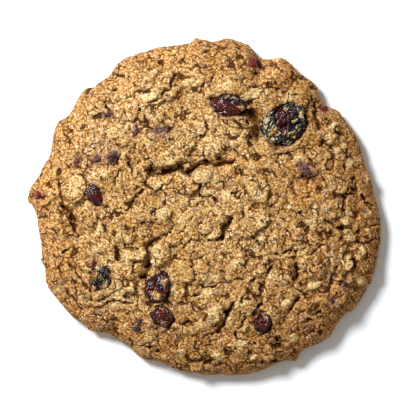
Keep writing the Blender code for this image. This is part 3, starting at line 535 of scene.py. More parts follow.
# Grains of the crumb: (size, height, width of the gap between grains as a share of the size)
GRAINS = (
    (1.7, 0.018, 0.50),
    (0.9, 0.012, 0.60),
)
WOBBLE = (2.6, 0.06)  # size and height of the slow waves under the grains
GRAINS_FROM = (0.2, 1.6)  # the grains come up between these heights of the side
GRAINS_BELOW = 0.25  # how much of them shows under that

# Fissures along the edges of the lumps, with painted shade along them
FISSURE_DEPTH = 0.26
FISSURE_HALF_WIDTH = 0.16
FISSURE_REACH = 0.4  # how far around a fissure its nearness is marked
FISSURE_RUN = 2.6  # about how far one runs before it closes
FISSURE_GATE = (0.0, 0.3)  # noise below the first closes them, and noise over the second opens them

# Scraps of dough around each fruit
SCRAP_SEED = 83
SCRAPS_A_MILLIMETRE = 1.1  # for each millimetre of a fruit's length and width
SCRAP_SIZE = (0.7, 1.6)
SCRAP_WIDTH_SHARE = (0.5, 0.9)  # of the length
SCRAP_OUT = (0.99, 1.10)  # how far out from the fruit's middle they lie, as a share of its size
SCRAP_FULLNESS = 0.35  # thickness as a share of the mean of length and width
SCRAP_LEAST = 0.15  # added to it
SCRAP_ROUGHNESS = 0.6
SCRAP_TONE = 0.55  # 0 is brown and 1 is golden

# The fruit's skin
FRUIT_FULLNESS = 1.12  # the skins are this much larger before their flat places and folds are pressed in
FRUIT_LIFT = 0.8  # the skins stand this much higher than the middle of their solids
WRINKLE = 0.17  # depth of the fruit's folds, as a share of its size
FINE_FOLDS = 0.8  # depth of the finer folds, as a share of the folds'
FINEST_FOLDS = 0.3  # and of the finest
SMOOTHER_FOLDS = 0.5  # the cranberries' finer folds are this much as deep as the raisins'
FRUIT_SPLITS = 6  # times that a fruit's ball has its faces split
BIT_SPLITS = 5
FACETS = 11  # flat places on a fruit
FACET_AWAY = (0.66, 0.90)  # how far from the fruit's middle they lie, as a share of its size

# Crumbs on the dough: name, count, seed, sizes
CRUMBS = (
    ("crumbs", 300, 61, (0.45, 0.85)),
    ("fine_crumbs", 5000, 73, (0.25, 0.45)),
)
CRUMB_UNEVEN = (0.6, 1.3)  # its length, width and height are its size times a share from this range
CRUMB_RAISED = (-0.75, -0.05)  # how far its middle lies over the dough's surface, as a share of its height
CRUMB_HOLLOW = 0.4  # no crumbs lie in hollows deeper than this

# Where clumps, small flakes and crumbs lie
SIDE_FACING = -0.25  # on faces whose slope downwards is no steeper than this
FOOT_HEIGHT = 1.2  # higher than this
FRUIT_MARGIN = 0.4  # outside the fruit, made this much longer and wider

# The dough is lightest left of the middle and a little above it, towards the key light, and painted shade
# darkens it further away. This shift brings that spot to the origin
LIGHT_SIDE = (0.012, -0.006, 0)  # in metres

UP = Vector((0, 0, 1))
DOWN = Vector((0, 0, -1))
OVERHEAD = 100  # a height well over the cookie

# Marks of hollows: name, how often the surface is smoothed to find them, depth that counts as 1
HOLLOW_SCALES = (
    ("fine_hollow", 3, 0.10),
    ("wide_hollow", 30, 0.55),
)

# The studio, in metres and degrees
FLOOR_SIZE = 3
LIGHT_TURN = 136  # where the key light stands, anticlockwise from +X
LIGHT_HEIGHT = 48  # its angle over the horizon
LIGHT_AWAY = 0.8
LIGHT_SIZE = 0.30
LIGHT_POWER = 11.4  # watts
LIGHT_COLOUR = (0.95, 1.015, 1.09)
SKY_COLOUR = (1.0, 0.97, 0.92, 1)
SKY_STRENGTH = 0.37
FRAME_PIXELS = 416
PIXEL = 0.26705  # millimetres that one pixel covers at the rim
RIM_LEVEL = 4  # millimetres, about where the cookie is widest from above
COOKIE_MIDDLE = (204.5, 206.5)  # pixel in which the cookie's middle lies
CAMERA_HEIGHT = 1.2
SENSOR_WIDTH = 36  # millimetres


# Small tools


def select_only(obj):
    bpy.ops.object.select_all(action="DESELECT")
    obj.select_set(True)
    bpy.context.view_layer.objects.active = obj


def new_ball(splits, radius=1):
    bpy.ops.mesh.primitive_ico_sphere_add(subdivisions=splits, radius=radius)
    return bpy.context.object


def points_of(obj):
    points = np.empty(len(obj.data.vertices) * 3, np.float32)
    obj.data.vertices.foreach_get("co", points)
    return points.reshape(-1, 3).astype(float)


def set_points(obj, points):
    obj.data.vertices.foreach_set("co", points.astype(np.float32).ravel())
    obj.data.update()


def normals_of(obj):
    normals = np.empty(len(obj.data.vertices) * 3, np.float32)
    obj.data.vertex_normals.foreach_get("vector", normals)
    return normals.reshape(-1, 3).astype(float)


def apply_modifier(obj, kind, **settings):
    """Adds a modifier with these settings and applies it."""
    select_only(obj)
    added = obj.modifiers.new(kind.lower(), kind)
    for name, value in settings.items():
        setattr(added, name, value)
    bpy.ops.object.modifier_apply(modifier=added.name)


def join(obj, others):
    select_only(obj)
    for other in others:
        other.select_set(True)
    bpy.ops.object.join()


def triangle_count(obj):
    return sum(len(face.vertices) - 2 for face in obj.data.polygons)


def smoothstep(low, high, values):
    share = np.clip((values - low) / (high - low), 0, 1)
    return share * share * (3 - 2 * share)


def noise_at(places, size):
    """Smooth noise, about -1 to 1, whose waves are about this long."""
    return np.array([noise.noise(place) for place in (places / size).tolist()])


def wandered(places, bends):
    """Places moved about a little, so that what is drawn at them gets an uneven edge."""
    for length, reach in bends:
        moves = [noise.noise_vector(place)[:] for place in (places / length).tolist()]
        places = places + reach * np.array(moves)
    return places


def cells_at(places, size, bends):
    """Distances to the two nearest cell centres, in cells, and each cell's random level and slope."""
    nearest, second, level, slope = np.empty((4, len(places)))
    for index, place in enumerate(wandered(places / size, bends).tolist()):
        distances, centres = noise.voronoi(place)
        nearest[index] = distances[0]
        second[index] = distances[1]
        level[index] = noise.noise(centres[0] * LEVEL_STRIDE)
        slope[index] = (Vector(place) - centres[0]).dot(noise.noise_vector(centres[0] * SLOPE_STRIDE))
    return nearest, second, level, slope


def rounded(nearest, second, gap):
    """0 on the line between two cells, rising in a rounded shoulder to 1 where the gap ends."""
    inward = np.minimum(1, (second - nearest) / gap)
    return inward * (2 - inward)


def ridge(away, half_width):
    """1 on a line, falling off in a bell on both sides."""
    return np.exp(-((away / half_width) ** 2))


# The dough's smooth form


def eased(low, high, share):
    """From low to high along half a cosine wave."""
    return low + (high - low) * (1 - math.cos(math.pi * share)) / 2


def rim_radius(angle):
    """The rim's radius in the direction of angle, in radians."""
    degrees = math.degrees(angle) % 360
    if degrees < RIM[0][0]:
        degrees += 360
    pairs = zip(RIM, (*RIM[1:], (RIM[0][0] + 360, RIM[0][1])), strict=True)
    (start, here), (end, there) = next(pair for pair in pairs if degrees <= pair[1][0])
    return eased(here, there, (degrees - start) / (end - start))


def rim_radii(angles):
    turns = np.linspace(-math.pi, math.pi, RIM_STEPS)
    return np.interp(angles, turns, [rim_radius(turn) for turn in turns])


def top_height(share):
    """Height of the smooth top at this share of the way out to the rim."""
    shoulder = np.sqrt(np.clip(1 - share**SHOULDER_POWER, 0, 1))
    return WIDEST_LEVEL + (CROWN - WIDEST_LEVEL - SLOPE * share * share) * shoulder


def bottom_height(share):
    """Height of the underside: level, then a quarter curve up to the widest level."""
    past_foot = np.clip((share - FOOT_SHARE) / FOOT_ROUNDING, 0, 1)
    return WIDEST_LEVEL * (1 - np.sqrt(1 - past_foot * past_foot))


def section():
    """The section from the middle of the top over the rim to the middle of the underside.

    Returns shares of the rim's radius, heights, and how much of the surface has been passed on the way.
    """
    outwards = np.sin(np.linspace(0, math.pi / 2, SECTION_STEPS))
    share = np.concatenate([outwards, outwards[::-1]])
    height = np.concatenate([top_height(outwards), bottom_height(outwards[::-1])])
    mean_radius = sum(radius for _, radius in RIM) / len(RIM)
    run = np.hypot(np.diff(share) * mean_radius, np.diff(height))
    thinning = np.where(np.arange(len(run)) < len(outwards), 1, UNDERSIDE_SHARE)
    passed = np.concatenate([[0], np.cumsum(run * (share[1:] + share[:-1]) / 2 * thinning)])
    return share, height, passed / passed[-1]


def on_dough(directions):
    """Where points of the unit sphere lie on the smooth cookie, evenly spread over its surface."""
    share, height, passed = section()
    along = (1 - directions[:, 2]) / 2
    angles = np.arctan2(directions[:, 1], directions[:, 0])
    radii = np.interp(along, passed, share) * rim_radii(angles)
    heights = np.interp(along, passed, height)
    return np.column_stack([radii * np.cos(angles), radii * np.sin(angles), heights])


# The dough's relief


def distance_to_run(places, points):
    """Distance in plan from each place to the line through some points."""
    nearest = np.full(len(places), np.inf)
    for (x0, y0), (x1, y1) in zip(points, points[1:], strict=False):
        run_x, run_y = x1 - x0, y1 - y0
        away_x, away_y = places[:, 0] - x0, places[:, 1] - y0
        along = np.clip((away_x * run_x + away_y * run_y) / (run_x**2 + run_y**2), 0, 1)
        nearest = np.minimum(nearest, np.hypot(away_x - along * run_x, away_y - along * run_y))
    return nearest


def crack_depth(places, cracks, closing):
    """How deep the cracks are at each place, and how near: 1 in the middle of one, 0 out of its reach.

    They wander a little, and close here and there.
    """
    flat = places * FLATTENED
    moved = wandered(flat, CRACK_BENDS)
    deepest = np.zeros(len(places))
    nearest = np.zeros(len(places))
    for half_width, depth, points in cracks:
        away = distance_to_run(moved, points)
        deepest = np.maximum(deepest, depth * ridge(away, half_width))
        nearest = np.maximum(nearest, 1 - away / (half_width + CRACK_REACH))
    low, high = CLOSED_BETWEEN
    closed = np.clip(CLOSED_MEAN - CLOSED_SWING * noise_at(flat + CLOSING_SHIFT, CLOSING_RUN), low, high)
    opened = 1 - closing * closed
    return deepest * opened, nearest * (CLOSED_SHADE + (1 - CLOSED_SHADE) * opened)


def hollow_depth(places):
    """How deep the hollows beside the fruit are at each place."""
    moved = wandered(places, HOLLOW_BENDS)
    depths = [depth * ridge(distance_to_run(moved, points), width) for width, depth, points in HOLLOWS]
    return np.max(depths, axis=0)


def towards_rim(places):
    """0 on the top, rising to 1 over the band at the rim."""
    radii = rim_radii(np.arctan2(places[:, 1], places[:, 0]))
    return smoothstep(*RIM_BAND, np.hypot(places[:, 0], places[:, 1]) / radii)


def ruggedness(places):
    """0 on the calm middle of the top, and 1 on the rough dough near the rim."""
    from_calm = np.hypot(places[:, 0] - CALM_MIDDLE[0], places[:, 1] - CALM_MIDDLE[1])
    size, strength = RUGGED_PATCHES
    patches = strength * noise_at(places + RUGGED_SHIFT, size)
    return np.clip(smoothstep(*CALM_REACH, from_calm) + patches, 0, 1)


def in_oval(places, centre, length, width, turn):
    """How far out each place lies in an oval: 0 in its middle and 1 on its outline."""
    away_x, away_y = places[:, 0] - centre[0], places[:, 1] - centre[1]
    cosine, sine = math.cos(math.radians(turn)), math.sin(math.radians(turn))
    along = (away_x * cosine + away_y * sine) * 2 / length
    across = (away_y * cosine - away_x * sine) * 2 / width
    return np.hypot(along, across)


def filled_oval(places, edge, *oval):
    """1 inside an oval and 0 outside it, fading between the two shares of its size that edge gives."""
    return 1 - smoothstep(*edge, in_oval(places, *oval))


def strongest(places, edge, ovals):
    """Each place's value from ovals that end with their strength: of several, the highest counts."""
    return np.max([strength * filled_oval(places, edge, *oval) for *oval, strength in ovals], axis=0)


def grown(ovals, margin):
    return [(centre, length + margin, width + margin, *rest) for centre, length, width, *rest in ovals]


def plate_height(places):
    """Height that the raised plates add. Their edges are jagged."""
    return strongest(wandered(places, PLATE_BENDS), PLATE_EDGE, PLATES)


def lump_height(places):
    """Flattish lumps with creases between them, each at a height and a tilt of its own."""
    height = np.zeros(len(places))
    rugged = ruggedness(places)
    for size, rise, step, tilt, crease, calmer in LUMPS:
        nearest, second, level, slope = cells_at(places * FLATTENED, size, LUMP_BENDS)
        lump = rise * (rounded(nearest, second, crease) - 0.8) + step * level + tilt * size * slope
        height += lump * (1 - calmer + 1.4 * calmer * rugged)
    return height * (1 - RIM_CALM * towards_rim(places))


def bed_depth(places):
    """How much lower the dough lies under the fruit, with a low lip of dough around it."""
    moved = wandered(places, BED_BENDS)
    depth = np.zeros(len(places))
    for _, centre, length, width, thickness, turn, _ in FRUIT:
        out = in_oval(moved, centre, length, width, turn)
        depth += BED_DEPTH * thickness * (1 - smoothstep(*BED_EDGE, out))
        depth -= LIP_HEIGHT * ridge(out - LIP_OUT, LIP_WIDTH)
    return depth


def shape_dough():
    """The dough's body: a ball pressed to the cookie's form, then lumps, plates and cracks."""
    dough = new_ball(DOUGH_SPLITS)
    dough.name = "dough"
    places = on_dough(points_of(dough))
    set_points(dough, places)
    normals = normals_of(dough)
    up = np.clip(normals[:, 2], 0, 1)
    fade = np.where(normals[:, 2] > 0, 1, np.clip(places[:, 2] / WIDEST_LEVEL, 0, 1))
    lumps = lump_height(places) * fade * (1 - SIDE_CALM * (1 - up))
    moved = places + normals * lumps[:, None]
    opened = crack_depth(places, WIDE_CRACKS, WIDE_CLOSING)[0] + hollow_depth(places)
    moved[:, 2] += (plate_height(places) - opened) * up * fade
    moved[:, 2] -= bed_depth(places) * (normals[:, 2] > 0)
    moved[:, 2] = np.maximum(moved[:, 2], 0)
    set_points(dough, moved)
    return dough


def surface_of(obj):
    return BVHTree.FromObject(obj, bpy.context.evaluated_depsgraph_get())


def straight_down(surface, spot):
    """Where a drop that falls on this spot meets the surface, and which way the surface faces there."""
    return surface.ray_cast(Vector((*spot, OVERHEAD)), DOWN)[:2]


def upright_to(normal):
    return UP.rotation_difference(normal).to_matrix()


def turned_upright(normal, turn):
    return np.array(upright_to(normal) @ Matrix.Rotation(math.radians(turn), 3, "Z"))


# Oat flakes grown into the dough


def loneliness(spot, others):
    """Distance to the nearest of the others."""
    return min([(spot - other).length for other in others], default=0)


def flake_spots(count, keep_clear):
    """Flake centres spread evenly over the top: of several random spots, each flake takes the loneliest."""
    draw = random.Random(FLAKE_SEED)
    spots = []
    while len(spots) < count:
        tried = []
        while len(tried) < CANDIDATES:
            angle = draw.uniform(0, 2 * math.pi)
            radius = rim_radius(angle) * FLAKE_REACH * math.sqrt(draw.random())
            spot = Vector((radius * math.cos(angle), radius * math.sin(angle), 0))
            if any((spot - centre).length < clear for centre, clear in keep_clear):
                continue
            here = np.array([spot])
            if all(distance_to_run(here, points)[0] > FLAKE_TO_CRACK for _, _, points in WIDE_CRACKS):
                tried.append(spot)
        spots.append(max(tried, key=lambda spot: loneliness(spot, spots)))
    return spots


def make_flake(number, length, width, turn):
    """One rolled oat: a ball pressed to a thin oval with an uneven outline."""
    bpy.ops.mesh.primitive_uv_sphere_add(segments=32, ring_count=16, radius=1)
    flake = bpy.context.object
    for vertex in flake.data.vertices:
        x, y, z = vertex.co
        uneven = 1 + FLAKE_UNEVEN * noise.noise(Vector((x, y, number * 3.1)))
        bend = FLAKE_UNEVEN * noise.noise(Vector((x * 0.8, y * 0.8, number * 5.7)))
        vertex.co.x = x * uneven * length / 2
        vertex.co.y = y * uneven * width / 2
        vertex.co.z = (math.copysign(abs(z) ** 0.6, z) / 2 + bend) * FLAKE_THICKNESS
    flake.data.transform(Matrix.Rotation(turn, 4, "Z"))
    return flake


def sink_flake(flake, spot, lean, proud, surface):
    """Lays a flake on the dough at a spot, leaning by two angles, with its top standing proud."""
    hit, normal = straight_down(surface, spot)
    level = normal.lerp(UP, FLAKE_LEVEL).normalized()
    leaning = Euler((math.radians(lean[0]), math.radians(lean[1]), 0)).to_matrix()
    centre = hit + level * (proud - FLAKE_THICKNESS / 2)
    flake.data.transform(Matrix.Translation(centre) @ (upright_to(level) @ leaning).to_4x4())


def large_flakes(surface):
    """The oat flakes that stand out by themselves, and then the others, from large to small."""
    keep_clear = [(Vector((*spec[1], 0)), (spec[2] + FLAKE_LENGTH[0]) / 2) for spec in FRUIT]
    for centre, length, *_ in SHOWN_FLAKES:
        keep_clear.append((Vector((*centre, 0)), length / 2 + SHOWN_CLEARANCE))
    flakes = []
    for number, (centre, length, width, turn, _) in enumerate(SHOWN_FLAKES):
        flake = make_flake(FLAKE_COUNT + number, length, width, math.radians(turn))
        sink_flake(flake, centre, (0, 0), SHOWN_PROUD, surface)
        flakes.append(flake)
    draw = random.Random(FLAKE_SEED + 1)
    shortest, longest = FLAKE_LENGTH
    for number, spot in enumerate(flake_spots(FLAKE_COUNT, keep_clear)):
        length = shortest + (longest - shortest) * (1 - number / FLAKE_COUNT) * draw.uniform(*FLAKE_CUT)
        width = length * draw.uniform(*FLAKE_WIDTH_SHARE)
        flake = make_flake(number, length, width, draw.uniform(0, math.pi))
        lean = (draw.uniform(-FLAKE_TILT, FLAKE_TILT), draw.uniform(-FLAKE_TILT, FLAKE_TILT))
        sink_flake(flake, spot.xy, lean, draw.uniform(*FLAKE_PROUD), surface)
        flakes.append(flake)
    return flakes


# Many small pieces of a kind


def triangles_of(obj):
    obj.data.calc_loop_triangles()
    corners = np.empty(len(obj.data.loop_triangles) * 3, np.int32)
    obj.data.loop_triangles.foreach_get("vertices", corners)
    return corners.reshape(-1, 3)


def spots_on(obj, count, seed, allowed):
    """Random spots on a mesh, as dense in each part of it as allowed(centres, normals) makes them."""
    points, corners = points_of(obj), triangles_of(obj)
    a, b, c = (points[corners[:, corner]] for corner in range(3))
    across = np.cross(b - a, c - a)
    area = np.linalg.norm(across, axis=1)
    normals = across / np.maximum(area, 1e-9)[:, None]
    area = area * allowed((a + b + c) / 3, normals)
    draw = np.random.default_rng(seed)
    chosen = draw.choice(len(area), count, p=area / area.sum())
    u, v = draw.random(count), draw.random(count)
    u, v = np.where(u + v > 1, 1 - u, u), np.where(u + v > 1, 1 - v, v)
    spots = a[chosen] + u[:, None] * (b - a)[chosen] + v[:, None] * (c - a)[chosen]
    return spots, normals[chosen], draw


def turns_to(normals, spins):
    """Rotation matrices that stand +Z up along each normal, after a spin about it."""
    side = np.cross(normals, np.where(np.abs(normals[:, :1]) < 0.9, [[1.0, 0, 0]], [[0, 1.0, 0]]))
    side /= np.linalg.norm(side, axis=1)[:, None]
    other = np.cross(normals, side)
    cosine, sine = np.cos(spins)[:, None], np.sin(spins)[:, None]
    return np.stack([side * cosine + other * sine, other * cosine - side * sine, normals], axis=2)


def normalised(vectors):
    return vectors / np.linalg.norm(vectors, axis=1)[:, None]


def many(name, models, which, turns, sizes, spots, tones=None):
    """One mesh made of many copies of a few model meshes, each turned, sized and put in its spot.

    Each copy's tone is saved on its points.
    """
    patterns = [(points_of(model), triangles_of(model)) for model in models]
    delete(models)
    points, faces, base = [], [], 0
    for copy, kind in enumerate(which):
        shape, corners = patterns[kind]
        points.append((shape * sizes[copy]) @ turns[copy].T + spots[copy])
        faces.append(corners + base)
        base += len(shape)
    mesh = bpy.data.meshes.new(name)
    mesh.from_pydata(np.concatenate(points).tolist(), [], np.concatenate(faces).tolist())
    obj = bpy.data.objects.new(name, mesh)
    bpy.context.collection.objects.link(obj)
    if tones is not None:
        copies = zip(points, tones, strict=True)
        save_mark(obj, "tone", np.concatenate([np.full(len(shape), tone) for shape, tone in copies]))
    return obj


def lump_models(splits, roughness):
    """A few uneven little lumps about 1 mm across, as patterns for many."""
    models = []
    for kind in range(LUMP_MODELS):
        lump = new_ball(splits, 0.5)
        places = points_of(lump)
        coarse = roughness * noise_at(places + 10 * kind, 0.45)
        fine = 0.5 * roughness * noise_at(places - 10 * kind, 0.2)
        set_points(lump, places * (1 + coarse + fine)[:, None])
        models.append(lump)
    return models


def delete(objects):
    for obj in objects:
        bpy.data.objects.remove(obj)


def clear_of_fruit(places):
    """True where a place lies off every fruit and the margin around it."""
    free = np.ones(len(places), bool)
    for _, centre, length, width, _, turn, _ in FRUIT:
        free &= in_oval(places, centre, length + FRUIT_MARGIN, width + FRUIT_MARGIN, turn) > 1
    return free


def outer_side(centres, normals):
    """The top and the side, but not the underside or the fruit's beds."""
    off_underside = (normals[:, 2] > SIDE_FACING) & (centres[:, 2] > FOOT_HEIGHT)
    return off_underside * clear_of_fruit(centres)


def make_clumps(dough):
    """Lumps of dough a few millimetres across, sunk in the surface, most of them where it is rough."""
    def rougher(centres, facing):
        rough = 0.03 + ruggedness(centres) ** 1.5
        return outer_side(centres, facing) * rough * (1.1 - towards_rim(centres))

    spots, normals, draw = spots_on(dough, CLUMP_COUNT, CLUMP_SEED, rougher)
    sizes = draw.uniform(*CLUMP_SIZE, (CLUMP_COUNT, 1)) * draw.uniform(*CLUMP_UNEVEN, (CLUMP_COUNT, 3))
    sizes[:, 2] *= CLUMP_FLATNESS
    turns = turns_to(normals, draw.uniform(0, 2 * math.pi, CLUMP_COUNT))
    sunk = spots - normals * sizes[:, 2:] * draw.uniform(*CLUMP_SUNK, (CLUMP_COUNT, 1))
    models = lump_models(CLUMP_SPLITS, LUMP_ROUGHNESS)
    return many("clumps", models, draw.integers(0, LUMP_MODELS, CLUMP_COUNT), turns, sizes, sunk)


def small_flakes(dough):
    """Broken and small oat flakes, tilted in the dough."""
    count = SMALL_FLAKE_COUNT
    spots, normals, draw = spots_on(dough, count, SMALL_FLAKE_SEED, outer_side)
    level = [0, 0, SMALL_FLAKE_LEVEL]
    tilted = normalised(normals + level + draw.normal(0, SMALL_FLAKE_TILT, (count, 3)))
    length = draw.uniform(*SMALL_FLAKE_SIZE, count)
    width = length / 2 * draw.uniform(*SMALL_FLAKE_WIDTH_SHARE, count)
    sizes = np.column_stack([length / 2, width, np.full(count, SMALL_FLAKE_THINNING)])
    turns = turns_to(tilted, draw.uniform(0, 2 * math.pi, count))
    models = [make_flake(SMALL_FLAKE_NUMBER + kind, 2, 2, 0) for kind in range(SMALL_FLAKE_MODELS)]
    which = draw.integers(0, SMALL_FLAKE_MODELS, count)
    return many("small_flakes", models, which, turns, sizes, spots + tilted * SMALL_FLAKE_PROUD)


def make_crumbs(dough, name, count, seed, size):
    """Crumbs and sugar grains on the dough, each with a tone from dark brown to pale."""
    def beside_hollows(centres, facing):
        return outer_side(centres, facing) * (hollow_depth(centres) < CRUMB_HOLLOW)

    spots, normals, draw = spots_on(dough, count, seed, beside_hollows)
    sizes = draw.uniform(*size, (count, 1)) * draw.uniform(*CRUMB_UNEVEN, (count, 3))
    turns = turns_to(normals, draw.uniform(0, 2 * math.pi, count))
    raised = spots + normals * sizes[:, 2:] * draw.uniform(*CRUMB_RAISED, (count, 1))
    which = draw.integers(0, LUMP_MODELS, count)
    models = lump_models(CRUMB_SPLITS, LUMP_ROUGHNESS)
    return many(name, models, which, turns, sizes, raised, draw.random(count))


def grain_relief(dough):
    """Presses the fissures and fine cracks in, raises the crumb's grains, and marks where shade is painted
    along the cracks and fissures and in the hollows beside the fruit.
    """
    places = points_of(dough)
    normals = normals_of(dough)
    show = np.minimum(1, smoothstep(*GRAINS_FROM, places[:, 2]) + GRAINS_BELOW)
    size, height = WOBBLE
    push = height * noise_at(places, size)
    rugged = ruggedness(places)
    nearness = np.zeros(len(places))
    opened = smoothstep(*FISSURE_GATE, noise_at(places + FISSURE_SHIFT, FISSURE_RUN))
    for size, *_ in LUMPS:
        nearest, second, level, _ = cells_at(places * FLATTENED, size, LUMP_BENDS)
        away = (second - nearest) * size / 2
        push -= FISSURE_DEPTH * opened * ridge(away, FISSURE_HALF_WIDTH)
        nearness = np.maximum(nearness, (0.3 + 0.55 * opened) * (1 - away / FISSURE_REACH))
    save_mark(dough, "lump_tone", 0.5 + 0.5 * level)
    for size, height, gap in GRAINS:
        nearest, second, level, _ = cells_at(places, size, GRAIN_BENDS)
        grain = rounded(nearest, second, gap) - 0.7 + 0.8 * level
        push += (0.5 + 1.1 * rugged) * height * grain
    narrow_runs = [(*NARROW_SIZE, points) for points in NARROW_CRACKS]
    hairline_runs = [(*HAIRLINE_SIZE, points) for points in HAIRLINE_CRACKS]
    narrow, near_narrow = crack_depth(places, narrow_runs, NARROW_CLOSING)
    hairline, near_hairline = crack_depth(places, hairline_runs, HAIRLINE_CLOSING)
    up = np.clip(normals[:, 2] * 2, 0, 1)
    cracks = np.maximum(narrow, hairline) * up
    moved = places + normals * ((push - cracks) * show)[:, None]
    moved[:, 2] = np.maximum(moved[:, 2], 0)
    set_points(dough, moved)
    _, near_wide = crack_depth(places, WIDE_CRACKS, WIDE_CLOSING)
    in_hollow = HOLLOW_SHADE * hollow_depth(places)
    # Painted shade, strongest in the cracks, the fissures and the hollows beside the fruit
    painted_shade = np.max([near_narrow, near_hairline, near_wide, in_hollow, nearness], axis=0)
    save_mark(dough, "rugged", rugged)
    save_mark(dough, "crack", np.clip(painted_shade, 0, 1) * show * np.clip(normals[:, 2] * 3 + 1, 0, 1))


def finish_dough(dough):
    surface = surface_of(dough)
    join(dough, [*large_flakes(surface), make_clumps(dough), small_flakes(dough)])
    apply_modifier(dough, "REMESH", mode="VOXEL", voxel_size=DOUGH_FACE)
    grain_relief(dough)
    apply_modifier(dough, "DECIMATE", ratio=DOUGH_TRIANGLES / triangle_count(dough))


# Fruit


def creases_at(places, narrow):
    """1 along the lines where smooth noise changes sign, and 0 away from them."""
    folds = np.abs([noise.noise(place) for place in places.tolist()])
    return (1 - np.minimum(1, folds * narrow)) ** 2


def faceted(number, ball):
    """Points of a ball of radius 1 pressed in at flat places, so that ridges stand between them."""
    draw = np.random.default_rng(number)
    pressed = ball.copy()
    for facing in normalised(draw.normal(size=(FACETS, 3))):
        over = pressed @ facing - draw.uniform(*FACET_AWAY)
        pressed -= np.maximum(over, 0)[:, None] * facing
    return pressed


def wrinkled(number, round_ball, wrinkle):
    """Points of a ball of radius 1 pressed flat in places and drawn in along folds, dents and wrinkles."""
    ball = faceted(number, round_ball)
    folds = creases_at(ball * [0.9, 1.9, 1.6] + [number * 5.0, 0, 0], 5)
    dents = noise_at(ball * 0.9 + [0, number * 4.0, 0], 1)
    bent = wandered(ball, FOLD_BENDS)
    fine = creases_at(bent * [1.8, 4.0, 3.6] + [0, 0, number * 6.0], 3)
    finest = creases_at(bent * [4.2, 8.2, 8.0] + [0, 0, number * 7.0], 2.5)
    size = (1 - WRINKLE * 1.6 * folds) * (1 - WRINKLE * (0.5 + 0.5 * dents))
    return ball * (size - wrinkle * (FINE_FOLDS * (fine - 0.4) + FINEST_FOLDS * (finest - 0.4)))[:, None]


def make_fruit(number, spec, middle):
    """One dried fruit, in the place and of the size of its solid, with finer folds."""
    name, _, length, width, thickness, turn, lean = spec
    fruit = new_ball(FRUIT_SPLITS)
    fold = WRINKLE if name.startswith("raisin") else WRINKLE * SMOOTHER_FOLDS
    half_size = np.array([length, width, thickness]) / 2 * FRUIT_FULLNESS
    set_points(fruit, wrinkled(number, points_of(fruit), fold) * half_size)
    fruit.data.transform(Euler((math.radians(lean), 0, math.radians(turn))).to_matrix().to_4x4())
    low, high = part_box(name)
    places = points_of(fruit)
    own_middle = (places.min(axis=0) + places.max(axis=0)) / 2
    places += np.array((low + high) / 2) / MM + [middle[0], middle[1], FRUIT_LIFT] - own_middle
    if name == "raisin_large":
        places = torn_open(fruit, places)
    set_points(fruit, places)
    mark_hollows(fruit)
    moved = wandered(places, SKIN_BENDS)
    black = [filled_oval(moved, BLACK_SKIN_EDGE, *spot) for spot in BLACK_SKIN]
    save_mark(fruit, "black_skin", np.max(black, axis=0))
    ragged = wandered(moved, FILM_BENDS)
    film = [filled_oval(ragged, FILM_EDGE, *spot) for spot in DOUGH_FILM]
    save_mark(fruit, "film", np.max(film, axis=0))
    fruit.name = f"skin_of_{name}"
    return fruit


def torn_open(fruit, places):
    """Presses the tears into the raisin, with a raised lip around each, and marks their flesh and a painted
    highlight on the right half of each lip.
    """
    moved = wandered(places, TEAR_BENDS)
    up = places[:, 2] > places[:, 2].mean()
    flesh = np.zeros(len(places))
    lip_highlight = np.zeros(len(places))
    for centre, length, width, turn, depth in TEARS:
        out = in_oval(moved, centre, length, width, turn)
        inside = (1 - smoothstep(*TEAR_EDGE, out)) * up
        lip = ridge(out - TEAR_LIP_OUT, TEAR_LIP_WIDTH) * up
        places[:, 2] += depth * (0.5 * lip - inside)
        flesh = np.maximum(flesh, inside)
        # Painted highlight on the right half of the lip
        lip_highlight = np.maximum(lip_highlight, lip * (moved[:, 0] > centre[0]))
    save_mark(fruit, "flesh", flesh)
    save_mark(fruit, "lip_highlight", lip_highlight)
    return places


def fruit_bits(dough):
    """Small bits of fruit that show in the dough."""
    surface = surface_of(dough)
    models, spots, turns, sizes, tones = [], [], [], [], []
    for number, (centre, length, width, thickness, turn, proud, tone) in enumerate(FRUIT_BITS):
        bit = new_ball(BIT_SPLITS)
        set_points(bit, wrinkled(BIT_NUMBER + number, points_of(bit), WRINKLE) / 2)
        models.append(bit)
        hit, normal = straight_down(surface, centre)
        turns.append(turned_upright(normal.lerp(UP, BIT_LEVEL), turn))
        spots.append([*centre, hit.z + proud + BIT_LIFT - thickness / 2])
        sizes.append([length * BIT_FULLNESS, width * BIT_FULLNESS, thickness])
        tones.append(tone)
    which = range(len(models))
    bits = many("fruit_bits", models, which, np.array(turns), np.array(sizes), np.array(spots), tones)
    mark_hollows(bits)
    save_mark(bits, "film", np.full(len(bits.data.vertices), BIT_FILM))
    return bits


def scraps_round_fruit():
    """Scraps of dough around each fruit, where the dough closes over its edge."""
    draw = random.Random(SCRAP_SEED)
    scraps = []
    for _, centre, length, width, _, turn, _ in FRUIT:
        count = round((length + width) * SCRAPS_A_MILLIMETRE)
        for number in range(count):
            angle = 2 * math.pi * (number + draw.uniform(-0.4, 0.4)) / count
            out = draw.uniform(*SCRAP_OUT)
            along, across = out * length / 2 * math.cos(angle), out * width / 2 * math.sin(angle)
            cosine, sine = math.cos(math.radians(turn)), math.sin(math.radians(turn))
            spot = (centre[0] + along * cosine - across * sine, centre[1] + along * sine + across * cosine)
            size = draw.uniform(*SCRAP_SIZE)
            scraps.append((spot, size, size * draw.uniform(*SCRAP_WIDTH_SHARE), draw.uniform(0, 180)))
    return scraps


